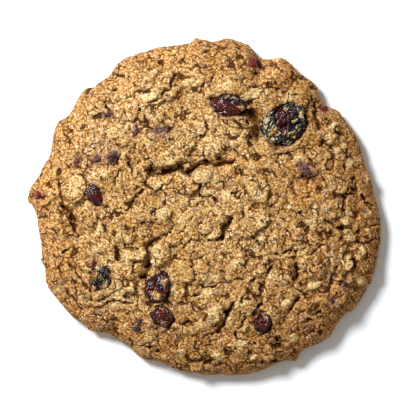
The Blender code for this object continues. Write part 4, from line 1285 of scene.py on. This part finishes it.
def stuck_dough(fruits):
    """Scraps of dough that stick to the fruit."""
    trees = [surface_of(fruit) for fruit in fruits]
    spots, sizes, turns = [], [], []
    for centre, length, width, turn in (*STUCK_DOUGH, *scraps_round_fruit()):
        hits = [found for found in (straight_down(tree, centre) for tree in trees) if found[0]]
        if not hits:
            continue
        hit, normal = max(hits, key=lambda found: found[0].z)
        turns.append(turned_upright(normal, turn))
        spots.append(hit)
        sizes.append([length, width, SCRAP_FULLNESS * (length + width) / 2 + SCRAP_LEAST])
    which = [number % LUMP_MODELS for number in range(len(spots))]
    models = lump_models(CLUMP_SPLITS, SCRAP_ROUGHNESS)
    scraps = many("stuck_dough", models, which, np.array(turns), np.array(sizes), np.array(spots))
    mark_hollows(scraps)
    save_mark(scraps, "lump_tone", np.full(len(scraps.data.vertices), SCRAP_TONE))
    return scraps


# Marks on the dough that its colours follow


def neighbour_mean(values, edges, counts):
    total = np.zeros_like(values)
    np.add.at(total, edges[:, 0], values[edges[:, 1]])
    np.add.at(total, edges[:, 1], values[edges[:, 0]])
    return total / counts[:, None]


def mark_hollows(obj):
    """Saves how deep each point lies in a hollow, or how high on a crest, at a fine and a coarse scale."""
    places = points_of(obj)
    normals = normals_of(obj)
    edges = np.empty(len(obj.data.edges) * 2, np.int32)
    obj.data.edges.foreach_get("vertices", edges)
    edges = edges.reshape(-1, 2)
    counts = np.bincount(edges.ravel(), minlength=len(places)).astype(float)
    smooth = places.copy()
    for name, rounds, full_depth in HOLLOW_SCALES:
        for _ in range(rounds):
            smooth = neighbour_mean(smooth, edges, counts)
        depth = np.einsum("ij,ij->i", smooth - places, normals) / full_depth
        save_mark(obj, name, np.clip(depth, -1, 1))


def mark_spots(obj):
    """Saves each point's own tone with painted light and shade, how toasted and how pale with oat it is,
    and its juice stain, which round each whole fruit also paints shade.
    """
    moved = wandered(points_of(obj), SPOT_BENDS)
    roaming = wandered(moved, PATCH_BENDS)
    shades = [tone_and_painted_light * filled_oval(roaming, SHADE_EDGE, *spot) for *spot, tone_and_painted_light in TONE_AND_PAINTED_LIGHT]
    save_mark(obj, "tone_and_painted_light", np.sum(shades, axis=0))
    save_mark(obj, "toasted", strongest(roaming, TOASTED_EDGE, TOASTED))
    save_mark(obj, "pale_flake", strongest(moved, PALE_FLAKE_EDGE, SHOWN_FLAKES))
    bits = [(centre, length, width, turn, 1) for centre, length, width, _, turn, _, _ in FRUIT_BITS]
    # Round each whole fruit the ring is partly juice stain and partly painted shade
    fruit = [(*spec[1:4], spec[5], FRUIT_STAIN_AND_SHADE) for spec in FRUIT]
    stained_and_shaded = np.maximum(
        strongest(moved, BIT_STAIN_EDGE, grown(bits, BIT_STAIN_REACH)),
        strongest(moved, FRUIT_STAIN_EDGE, grown(fruit, FRUIT_STAIN_REACH)),
    )
    save_mark(obj, "stain_and_shade", stained_and_shaded)


def save_mark(obj, name, values):
    mark = obj.data.attributes.new(name, "FLOAT", "POINT")
    mark.data.foreach_set("value", values.astype(np.float32))


# Finishes: colours are red, green, blue and 1, in linear light

TAN_PATCH = (0.33, 0.168, 0.037, 1)
GOLD_PATCH = (0.46, 0.275, 0.086, 1)
TAN_LUMP = (0.30, 0.137, 0.026, 1)
GOLD_LUMP = (0.54, 0.345, 0.125, 1)
# The dough's own lighter and darker tone, with painted light and painted shade
LIGHT_TONE_AND_PAINTED_LIGHT = (0.52, 0.34, 0.14, 1)
DARK_TONE_AND_PAINTED_SHADE = (0.19, 0.072, 0.012, 1)
GOLDEN_BROWN = (0.45, 0.21, 0.040, 1)
RIM_BROWN = (0.36, 0.155, 0.030, 1)
# Painted shade on the side away from the key light
AWAY_SIDE_PAINTED_SHADE = (0.23, 0.088, 0.014, 1)
TOASTED_ORANGE = (0.58, 0.265, 0.060, 1)
MOTTLED_BROWN = (0.24, 0.10, 0.016, 1)
BROWN_GRAIN = (0.17, 0.055, 0.007, 1)
OAT_CREAM = (0.67, 0.49, 0.205, 1)
SUGAR_WHITE = (0.85, 0.75, 0.56, 1)
# Juice stain, and painted shade round each whole fruit
JUICE_STAIN_AND_SHADE = (0.15, 0.045, 0.035, 1)
# Painted shade in the hollows
HOLLOW_PAINTED_SHADE = (0.17, 0.063, 0.009, 1)
DARK_FLECK = (0.22, 0.120, 0.05, 1)
PALE_FLECK = (0.79, 0.85, 0.98, 1)
# Painted highlight on the crests
CREST_PAINTED_HIGHLIGHT = (0.66, 0.48, 0.24, 1)
# Painted shade in the cracks, fissures and pits
CRACK_PAINTED_SHADE = (0.042, 0.008, 0.001, 1)

CRUMB_BROWN = (0.25, 0.105, 0.020, 1)
CRUMB_TAN = (0.40, 0.215, 0.052, 1)
CRUMB_GOLD = (0.54, 0.345, 0.115, 1)
CRUMB_CREAM = (0.80, 0.68, 0.42, 1)
CRUMB_RIM_BROWN = (0.39, 0.175, 0.036, 1)
CRUMB_AWAY_SIDE_PAINTED_SHADE = (0.27, 0.105, 0.018, 1)
CRUMB_DARK_FLECK = (0.22, 0.125, 0.05, 1)
CRUMB_PALE_FLECK = (0.84, 0.88, 0.96, 1)

RAISIN_BLACK = (0.003, 0.0025, 0.004, 1)
RAISIN_BLUE = (0.012, 0.013, 0.02, 1)
RAISIN_DUST = (0.46, 0.33, 0.16, 1)
DARK_FLESH = (0.022, 0.0015, 0.0015, 1)
RED_FLESH = (0.075, 0.004, 0.004, 1)
# Painted highlight on a tear's lip
TORN_EDGE_HIGHLIGHT = (0.34, 0.08, 0.05, 1)

CRANBERRY_RED = (0.070, 0.004, 0.002, 1)
CRANBERRY_PURPLE = (0.018, 0.003, 0.005, 1)
CRANBERRY_STREAK = (0.13, 0.014, 0.012, 1)
CRANBERRY_BLACK = (0.008, 0.006, 0.009, 1)
CRANBERRY_DUST = (0.42, 0.26, 0.15, 1)

BIT_RED = (0.14, 0.014, 0.004, 1)
BIT_PURPLE = (0.045, 0.010, 0.014, 1)
BIT_BLUE_BLACK = (0.012, 0.008, 0.012, 1)
BIT_DUST = (0.36, 0.21, 0.12, 1)

FLOOR_GREY = (0.90, 0.90, 0.90, 1)
FLOOR_WHITE = (0.92, 0.92, 0.92, 1)

VALUE, VECTOR = "NodeSocketFloat", "NodeSocketVector"


def feed(tree, socket, value):
    """Links a socket to another, or sets its value."""
    if isinstance(value, bpy.types.NodeSocket):
        tree.links.new(value, socket)
    else:
        socket.default_value = value


def calculated(tree, kind, operation, values):
    """A Math or VectorMath node's outputs."""
    made = tree.nodes.new(f"ShaderNode{kind}")
    made.operation = operation
    for socket, value in zip(made.inputs, values, strict=False):
        feed(tree, socket, value)
    return made.outputs


def calculate(tree, operation, *values):
    return calculated(tree, "Math", operation, values)[0]


def weaker(tree, value, share):
    return calculate(tree, "MULTIPLY", value, share)


def mix_colour(tree, factor, first, second, blend="MIX"):
    made = tree.nodes.new("ShaderNodeMix")
    made.data_type = "RGBA"
    made.blend_type = blend
    feed(tree, made.inputs["Factor"], factor)
    colours = [socket for socket in made.inputs if socket.type == "RGBA"]
    feed(tree, colours[0], first)
    feed(tree, colours[1], second)
    return next(socket for socket in made.outputs if socket.type == "RGBA")


def tinted(tree, base, *layers):
    """The base colour under layers, each given as how much of it shows and its colour."""
    for amount, tint in layers:
        base = mix_colour(tree, amount, base, tint)
    return base


def spread(tree, value, low, high, to_low=0.0, to_high=1.0):
    """Maps a value's range to another, clamped."""
    made = tree.nodes.new("ShaderNodeMapRange")
    for name, number in (("From Min", low), ("From Max", high), ("To Min", to_low), ("To Max", to_high)):
        made.inputs[name].default_value = number
    feed(tree, made.inputs["Value"], value)
    return made.outputs["Result"]


def mark(tree, name):
    """A mark that is saved on the piece's points."""
    made = tree.nodes.new("ShaderNodeAttribute")
    made.attribute_name = name
    return made.outputs["Fac"]


def marked(tree, name, *ranges):
    """A mark with its range mapped to another."""
    return spread(tree, mark(tree, name), *ranges)


def place_on_object(tree):
    return tree.nodes.new("ShaderNodeTexCoord").outputs["Object"]


def waves(tree, place, size, detail=2.0, roughness=0.5, distortion=0.0, output="Fac"):
    """Noise from 0 to 1 whose waves are about size millimetres long."""
    made = tree.nodes.new("ShaderNodeTexNoise")
    made.inputs["Scale"].default_value = 1 / (size * MM)
    made.inputs["Detail"].default_value = detail
    made.inputs["Roughness"].default_value = roughness
    made.inputs["Distortion"].default_value = distortion
    feed(tree, made.inputs["Vector"], place)
    return made.outputs[output]


def bent_place(tree, place, size, reach):
    """The place moved about within this many millimetres, so that lines drawn at it are uneven."""
    moves = waves(tree, place, size, 3, output="Color")
    return calculated(tree, "VectorMath", "MULTIPLY_ADD", (moves, (2 * reach * MM,) * 3, place))["Vector"]


def distance_out(tree, place, shift):
    """Distance in plan from the origin, after the place has been shifted."""
    flat = calculated(tree, "VectorMath", "MULTIPLY_ADD", (place, (1, 1, 0), shift))["Vector"]
    return calculated(tree, "VectorMath", "LENGTH", (flat,))["Value"]


def cells(tree, place, size, feature="F1"):
    """Cells about size millimetres across: the outputs, for their Distance and Color."""
    made = tree.nodes.new("ShaderNodeTexVoronoi")
    made.feature = feature
    made.inputs["Scale"].default_value = 1 / (size * MM)
    feed(tree, made.inputs["Vector"], place)
    return made.outputs


def tones_of(tree, cell):
    """Three random tones, from 0 to 1, that each cell has."""
    made = tree.nodes.new("ShaderNodeSeparateColor")
    tree.links.new(cell["Color"], made.inputs["Color"])
    return made.outputs


def bumped(tree, height, distance):
    made = tree.nodes.new("ShaderNodeBump")
    made.inputs["Distance"].default_value = distance * MM
    made.inputs["Strength"].default_value = 1
    feed(tree, made.inputs["Height"], height)
    return made.outputs["Normal"]


def new_finish(name):
    finish = bpy.data.materials.new(name)
    finish.use_nodes = True
    return finish, finish.node_tree, finish.node_tree.nodes["Principled BSDF"]


def give(tree, shader, base, normal, roughness, gloss):
    """Gives the shader its colour, its bumps, its roughness and how much light it mirrors."""
    tree.links.new(base, shader.inputs["Base Color"])
    tree.links.new(normal, shader.inputs["Normal"])
    shader.inputs["Roughness"].default_value = roughness
    shader.inputs["Specular IOR Level"].default_value = gloss


def new_group(name, given, results):
    """An empty node group with these inputs, which puts out these values, and its two end nodes."""
    group = bpy.data.node_groups.new(name, "ShaderNodeTree")
    for socket, kind in given:
        group.interface.new_socket(socket, in_out="INPUT", socket_type=kind)
    for socket in results:
        group.interface.new_socket(socket, in_out="OUTPUT", socket_type=VALUE)
    return group, group.nodes.new("NodeGroupInput").outputs, group.nodes.new("NodeGroupOutput").inputs


def put_out(group, ends, **results):
    for name, socket in results.items():
        group.links.new(socket, ends[name])
    return group


def use_group(tree, group, **values):
    used = tree.nodes.new("ShaderNodeGroup")
    used.node_tree = group
    for name, value in values.items():
        feed(tree, used.inputs[name], value)
    return used.outputs


def crumb_grain():
    """The crumb's grains, pits and finest fissures, and how high each point stands."""
    results = ("Pale", "Brown", "Fleck", "Mottle", "Fissure", "Height")
    group, given, ends = new_group("crumb_grain", (("Place", VECTOR), ("Rugged", VALUE)), results)
    place = given["Place"]
    grain = cells(group, place, 0.55)
    tones = tones_of(group, grain)
    round_spot = spread(group, grain["Distance"], 0.25, 0.6, 1, 0)
    pale = calculate(group, "MULTIPLY", spread(group, tones[0], 0.55, 0.9), round_spot)
    fine = waves(group, place, 0.60, 2, 0.65)

    # Fissures and pits, where baked_dough paints shade and the height dips
    edges = cells(group, bent_place(group, place, 1.8, 0.8), 3.4, "DISTANCE_TO_EDGE")
    line = spread(group, edges["Distance"], 0.015, 0.06, 1, 0)
    opened = spread(group, waves(group, place, 3.0, 2, 0.6), 0.46, 0.60)
    pit = cells(group, place, 1.2)
    pit_spot = spread(group, pit["Distance"], 0.14, 0.30, 1, 0)
    pits = calculate(group, "MULTIPLY", pit_spot, spread(group, tones_of(group, pit)[0], 0.70, 0.85))
    pits = calculate(group, "MULTIPLY", pits, spread(group, given["Rugged"], 0, 0.8, 0.3, 1.0))
    fissure = calculate(group, "MAXIMUM", calculate(group, "MULTIPLY", line, opened), pits)

    clump = cells(group, bent_place(group, place, 1.0, 0.3), 1.3)["Distance"]
    fine_height = calculate(group, "MULTIPLY_ADD", fine, 1.5, weaker(group, pale, 0.4))
    lumpy_height = calculate(group, "MULTIPLY_ADD", clump, -0.35, fine_height)
    return put_out(
        group,
        ends,
        Pale=pale,
        Brown=spread(group, tones[1], 0.60, 0.95),
        Fleck=spread(group, fine, 0.42, 0.58),
        Mottle=spread(group, waves(group, place, 1.1, 3, 0.65), 0.46, 0.62),
        Fissure=fissure,
        Height=calculate(group, "SUBTRACT", lumpy_height, fissure),
    )


def browning_and_painted_shade():
    """How brown the oven made each place, in patches and in a band at the rim, and the shade painted on the
    side away from the key light.
    """
    results = ("Patches", "Golden", "Rim", "Darker")
    group, given, ends = new_group("browning_and_painted_shade", (("Place", VECTOR),), results)
    place = given["Place"]
    slow = weaker(group, waves(group, place, 11, 3, 0.6), 0.5)
    quick = weaker(group, waves(group, place, 2.8, 4, 0.65), 0.5)
    out = distance_out(group, place, LIGHT_SIDE)
    from_light_side = calculate(group, "ADD", out, weaker(group, slow, 0.02))
    out = distance_out(group, place, (0, 0, 0))
    from_middle = calculate(group, "ADD", out, weaker(group, quick, 0.016))
    return put_out(
        group,
        ends,
        Patches=spread(group, calculate(group, "ADD", slow, quick), 0.38, 0.62),
        Golden=spread(group, waves(group, place, 4.2, 4, 0.7), 0.50, 0.62),
        Darker=spread(group, from_light_side, 0.030, 0.054),
        Rim=spread(group, from_middle, 0.038, 0.048),
    )


def fruit_dust():
    """Where pale sugar and dough dust lies on a fruit's skin, and the skin's fine creases."""
    group, given, ends = new_group("fruit_dust", (("Place", VECTOR),), ("Dust", "Streak", "Height"))
    place = given["Place"]
    dust = weaker(group, waves(group, place, 1.5, 3, 0.65), 0.6)
    for more in (
        weaker(group, waves(group, place, 0.35, 2, 0.6), 0.4),
        marked(group, "fine_hollow", 0.1, -0.5, -0.10, 0.10),
        marked(group, "film", 0, 1, -0.02, 0.14),
    ):
        dust = calculate(group, "ADD", dust, more)
    return put_out(
        group,
        ends,
        Dust=spread(group, dust, 0.61, 0.65),
        Streak=spread(group, waves(group, place, 0.8, 3, 0.6, 1.5), 0.52, 0.62),
        Height=waves(group, place, 0.7, 3, 0.65),
    )


def baked_dough(grain_group, browning_and_shade_group):
    """Dry crumbly dough, tan and golden, with a painted highlight on the crests and painted shade in the
    hollows and cracks.
    """
    finish, tree, shader = new_finish("baked_dough")
    place = place_on_object(tree)
    browning_and_shade = use_group(tree, browning_and_shade_group, Place=place)
    grain = use_group(tree, grain_group, Place=place, Rugged=mark(tree, "rugged"))
    lumps = mix_colour(tree, marked(tree, "lump_tone", 0.25, 0.75), TAN_LUMP, GOLD_LUMP)
    # Painted shade in the fine and the wide hollows
    fine = marked(tree, "fine_hollow", 0.35, 1.0, 0, 0.3)
    wide = marked(tree, "wide_hollow", 0.5, 1.0, 0, 0.4)
    base = tinted(
        tree,
        mix_colour(tree, browning_and_shade["Patches"], TAN_PATCH, GOLD_PATCH),
        (0.5, lumps),
        # Lighter and darker places: the dough's own tone, with painted light and painted shade
        (marked(tree, "tone_and_painted_light", 0, 1, 0, 0.75), LIGHT_TONE_AND_PAINTED_LIGHT),
        (marked(tree, "tone_and_painted_light", 0, -1, 0, 0.75), DARK_TONE_AND_PAINTED_SHADE),
        (weaker(tree, browning_and_shade["Golden"], 0.35), GOLDEN_BROWN),
        (weaker(tree, browning_and_shade["Rim"], 0.7), RIM_BROWN),
        # Painted shade on the side away from the key light
        (weaker(tree, browning_and_shade["Darker"], 0.45), AWAY_SIDE_PAINTED_SHADE),
        (marked(tree, "toasted", 0, 1, 0, 0.75), TOASTED_ORANGE),
        (weaker(tree, grain["Mottle"], 0.26), MOTTLED_BROWN),
        (weaker(tree, grain["Brown"], 0.4), BROWN_GRAIN),
        (marked(tree, "pale_flake", 0, 1, 0, 0.75), OAT_CREAM),
        (weaker(tree, grain["Pale"], 0.38), SUGAR_WHITE),
        # Juice stain, with painted shade round each whole fruit
        (marked(tree, "stain_and_shade", 0, 1, 0, 0.55), JUICE_STAIN_AND_SHADE),
        (calculate(tree, "MAXIMUM", fine, wide), HOLLOW_PAINTED_SHADE),
    )
    fleck = mix_colour(tree, grain["Fleck"], DARK_FLECK, PALE_FLECK)
    base = mix_colour(tree, marked(tree, "pale_flake", 0, 1, 0.9, 0.5), base, fleck, "OVERLAY")
    # Painted shade in the cracks, the fissures and the pits
    crack = calculate(tree, "MAXIMUM", marked(tree, "crack", 0.43, 0.66), grain["Fissure"])
    base = tinted(
        tree,
        base,
        # A painted highlight on the crests, then painted shade in the cracks
        (marked(tree, "fine_hollow", -0.2, -1.0, 0, 0.15), CREST_PAINTED_HIGHLIGHT),
        (spread(tree, crack, 0, 1, 0, 0.9), CRACK_PAINTED_SHADE),
    )
    give(tree, shader, base, bumped(tree, grain["Height"], 0.20), roughness=0.55, gloss=0.02)
    glints = calculate(tree, "MULTIPLY", grain["Pale"], calculate(tree, "SUBTRACT", 0.15, crack))
    tree.links.new(glints, shader.inputs["Coat Weight"])
    shader.inputs["Coat Roughness"].default_value = 0.3
    return finish


def crumb(grain_group, browning_and_shade_group):
    """Crumbs and sugar grains, from dark brown to pale cream."""
    finish, tree, shader = new_finish("crumb")
    place = place_on_object(tree)
    browning_and_shade = use_group(tree, browning_and_shade_group, Place=place)
    grain = use_group(tree, grain_group, Place=place, Rugged=0.0)
    base = tinted(
        tree,
        CRUMB_BROWN,
        (marked(tree, "tone", 0.0, 0.35), CRUMB_TAN),
        (marked(tree, "tone", 0.35, 0.75), CRUMB_GOLD),
        (marked(tree, "tone", 0.80, 1.0), CRUMB_CREAM),
        (weaker(tree, browning_and_shade["Rim"], 0.4), CRUMB_RIM_BROWN),
        # Painted shade on the side away from the key light
        (weaker(tree, browning_and_shade["Darker"], 0.5), CRUMB_AWAY_SIDE_PAINTED_SHADE),
    )
    fleck = mix_colour(tree, grain["Fleck"], CRUMB_DARK_FLECK, CRUMB_PALE_FLECK)
    base = mix_colour(tree, 0.9, base, fleck, "OVERLAY")
    give(tree, shader, base, bumped(tree, grain["Height"], 0.20), roughness=0.45, gloss=0.2)
    return finish


def raisin_skin(dust_group):
    """Blue-black wrinkled skin with pale dust on its folds, dark red flesh in the tear, and a painted
    highlight on the tear's lip.
    """
    finish, tree, shader = new_finish("raisin_skin")
    dust = use_group(tree, dust_group, Place=place_on_object(tree))
    flesh = mark(tree, "flesh")
    base = tinted(
        tree,
        RAISIN_BLACK,
        (dust["Streak"], RAISIN_BLUE),
        (weaker(tree, dust["Dust"], 0.85), RAISIN_DUST),
        (flesh, mix_colour(tree, dust["Streak"], DARK_FLESH, RED_FLESH)),
        # Painted highlight on the tear's lip
        (marked(tree, "lip_highlight", 0.5, 1.0, 0, 0.8), TORN_EDGE_HIGHLIGHT),
    )
    creased = calculate(tree, "MULTIPLY", dust["Height"], calculate(tree, "SUBTRACT", 1.0, flesh))
    give(tree, shader, base, bumped(tree, creased, 0.2), roughness=0.26, gloss=0.3)
    return finish


def cranberry_skin(dust_group):
    """Dark red sticky skin, purple in places, with a little pale dust."""
    finish, tree, shader = new_finish("cranberry_skin")
    place = place_on_object(tree)
    dust = use_group(tree, dust_group, Place=place)
    base = tinted(
        tree,
        CRANBERRY_RED,
        (spread(tree, waves(tree, place, 3.0, 3, 0.6), 0.4, 0.6), CRANBERRY_PURPLE),
        (weaker(tree, dust["Streak"], 0.3), CRANBERRY_STREAK),
        (mark(tree, "black_skin"), CRANBERRY_BLACK),
        (weaker(tree, dust["Dust"], 0.7), CRANBERRY_DUST),
    )
    give(tree, shader, base, bumped(tree, dust["Height"], 0.1), roughness=0.14, gloss=0.35)
    return finish


def fruit_bit(dust_group):
    """Bits of fruit skin: dark red, purple or blue-black by their tone."""
    finish, tree, shader = new_finish("fruit_bit")
    dust = use_group(tree, dust_group, Place=place_on_object(tree))
    dustiness = marked(tree, "tone", 0.1, 0.3, 0.05, 0.45)
    base = tinted(
        tree,
        BIT_RED,
        (marked(tree, "tone", 0.0, 0.5), BIT_PURPLE),
        (marked(tree, "tone", 0.5, 1.0), BIT_BLUE_BLACK),
        (weaker(tree, dust["Dust"], dustiness), BIT_DUST),
    )
    give(tree, shader, base, bumped(tree, dust["Height"], 0.2), roughness=0.35, gloss=0.2)
    return finish


def set_finish(obj, finish):
    obj.data.materials.append(finish)
    select_only(obj)
    bpy.ops.object.shade_smooth()


# The studio


def make_floor():
    bpy.ops.mesh.primitive_plane_add(size=FLOOR_SIZE, location=(0, 0, 0))
    floor = bpy.context.object
    floor.name = "floor"
    finish, tree, shader = new_finish("pale_floor")
    tint = waves(tree, place_on_object(tree), 60, 2)
    tree.links.new(mix_colour(tree, tint, FLOOR_GREY, FLOOR_WHITE), shader.inputs["Base Color"])
    shader.inputs["Roughness"].default_value = 0.9
    floor.data.materials.append(finish)


def add_key_light():
    data = bpy.data.lights.new("key", "AREA")
    data.shape = "DISK"
    data.size = LIGHT_SIZE
    data.energy = LIGHT_POWER
    data.color = LIGHT_COLOUR
    light = bpy.data.objects.new("key", data)
    turn, height = math.radians(LIGHT_TURN), math.radians(LIGHT_HEIGHT)
    across = LIGHT_AWAY * math.cos(height)
    light.location = (across * math.cos(turn), across * math.sin(turn), LIGHT_AWAY * math.sin(height))
    light.rotation_euler = light.location.to_track_quat("Z", "Y").to_euler()
    bpy.context.collection.objects.link(light)


def light_studio():
    world = bpy.data.worlds.new("studio")
    world.use_nodes = True
    sky = world.node_tree.nodes["Background"].inputs
    sky["Color"].default_value = SKY_COLOUR
    sky["Strength"].default_value = SKY_STRENGTH
    bpy.context.scene.world = world
    add_key_light()
    bpy.context.scene.view_settings.view_transform = "Standard"


def set_camera():
    data = bpy.data.cameras.new("camera")
    camera = bpy.data.objects.new("camera", data)
    bpy.context.collection.objects.link(camera)
    middle = FRAME_PIXELS / 2
    camera.location = (
        (middle - COOKIE_MIDDLE[0]) * PIXEL * MM,
        (COOKIE_MIDDLE[1] - middle) * PIXEL * MM,
        CAMERA_HEIGHT,
    )
    rim_away = CAMERA_HEIGHT - RIM_LEVEL * MM
    data.sensor_width = SENSOR_WIDTH
    data.lens = data.sensor_width * rim_away / (FRAME_PIXELS * PIXEL * MM)
    bpy.context.scene.camera = camera


def middle_of(obj):
    points = points_of(obj)
    return (points.min(axis=0) + points.max(axis=0)) / 2


def place_in_frame(pieces, middle):
    """Puts the middle of the dough's box over the origin and turns millimetres into metres."""
    for piece in pieces:
        set_points(piece, (points_of(piece) - [middle[0], middle[1], 0]) * MM)


def main():
    noise.seed_set(NOISE_SEED)
    dough = shape_dough()
    finish_dough(dough)
    mark_hollows(dough)
    mark_spots(dough)
    middle = middle_of(dough)
    fruits = [make_fruit(number, spec, middle) for number, spec in enumerate(FRUIT)]
    bits = fruit_bits(dough)
    scraps = stuck_dough([*fruits, bits])
    crumbs = [make_crumbs(dough, *kind) for kind in CRUMBS]

    grain = crumb_grain()
    browning_and_shade = browning_and_painted_shade()
    dust = fruit_dust()
    dough_finish = baked_dough(grain, browning_and_shade)
    crumb_finish = crumb(grain, browning_and_shade)
    raisin_finish = raisin_skin(dust)
    cranberry_finish = cranberry_skin(dust)
    bit_finish = fruit_bit(dust)
    for piece, finish, slot in (
        (dough, dough_finish, "baked_dough"),
        (scraps, dough_finish, "baked_dough"),
        (bits, bit_finish, "cranberry_skin"),
        *((piece, crumb_finish, "baked_dough") for piece in crumbs),
    ):
        set_finish(piece, finish)
        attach(piece, "root")
        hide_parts("cookie")
    for fruit, spec in zip(fruits, FRUIT, strict=True):
        is_raisin = spec[0].startswith("raisin")
        set_finish(fruit, raisin_finish if is_raisin else cranberry_finish)
        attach(fruit, "root")
        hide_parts(spec[0])
    place_in_frame([dough, scraps, bits, *crumbs, *fruits], middle)
    make_floor()
    light_studio()
    set_camera()


main()
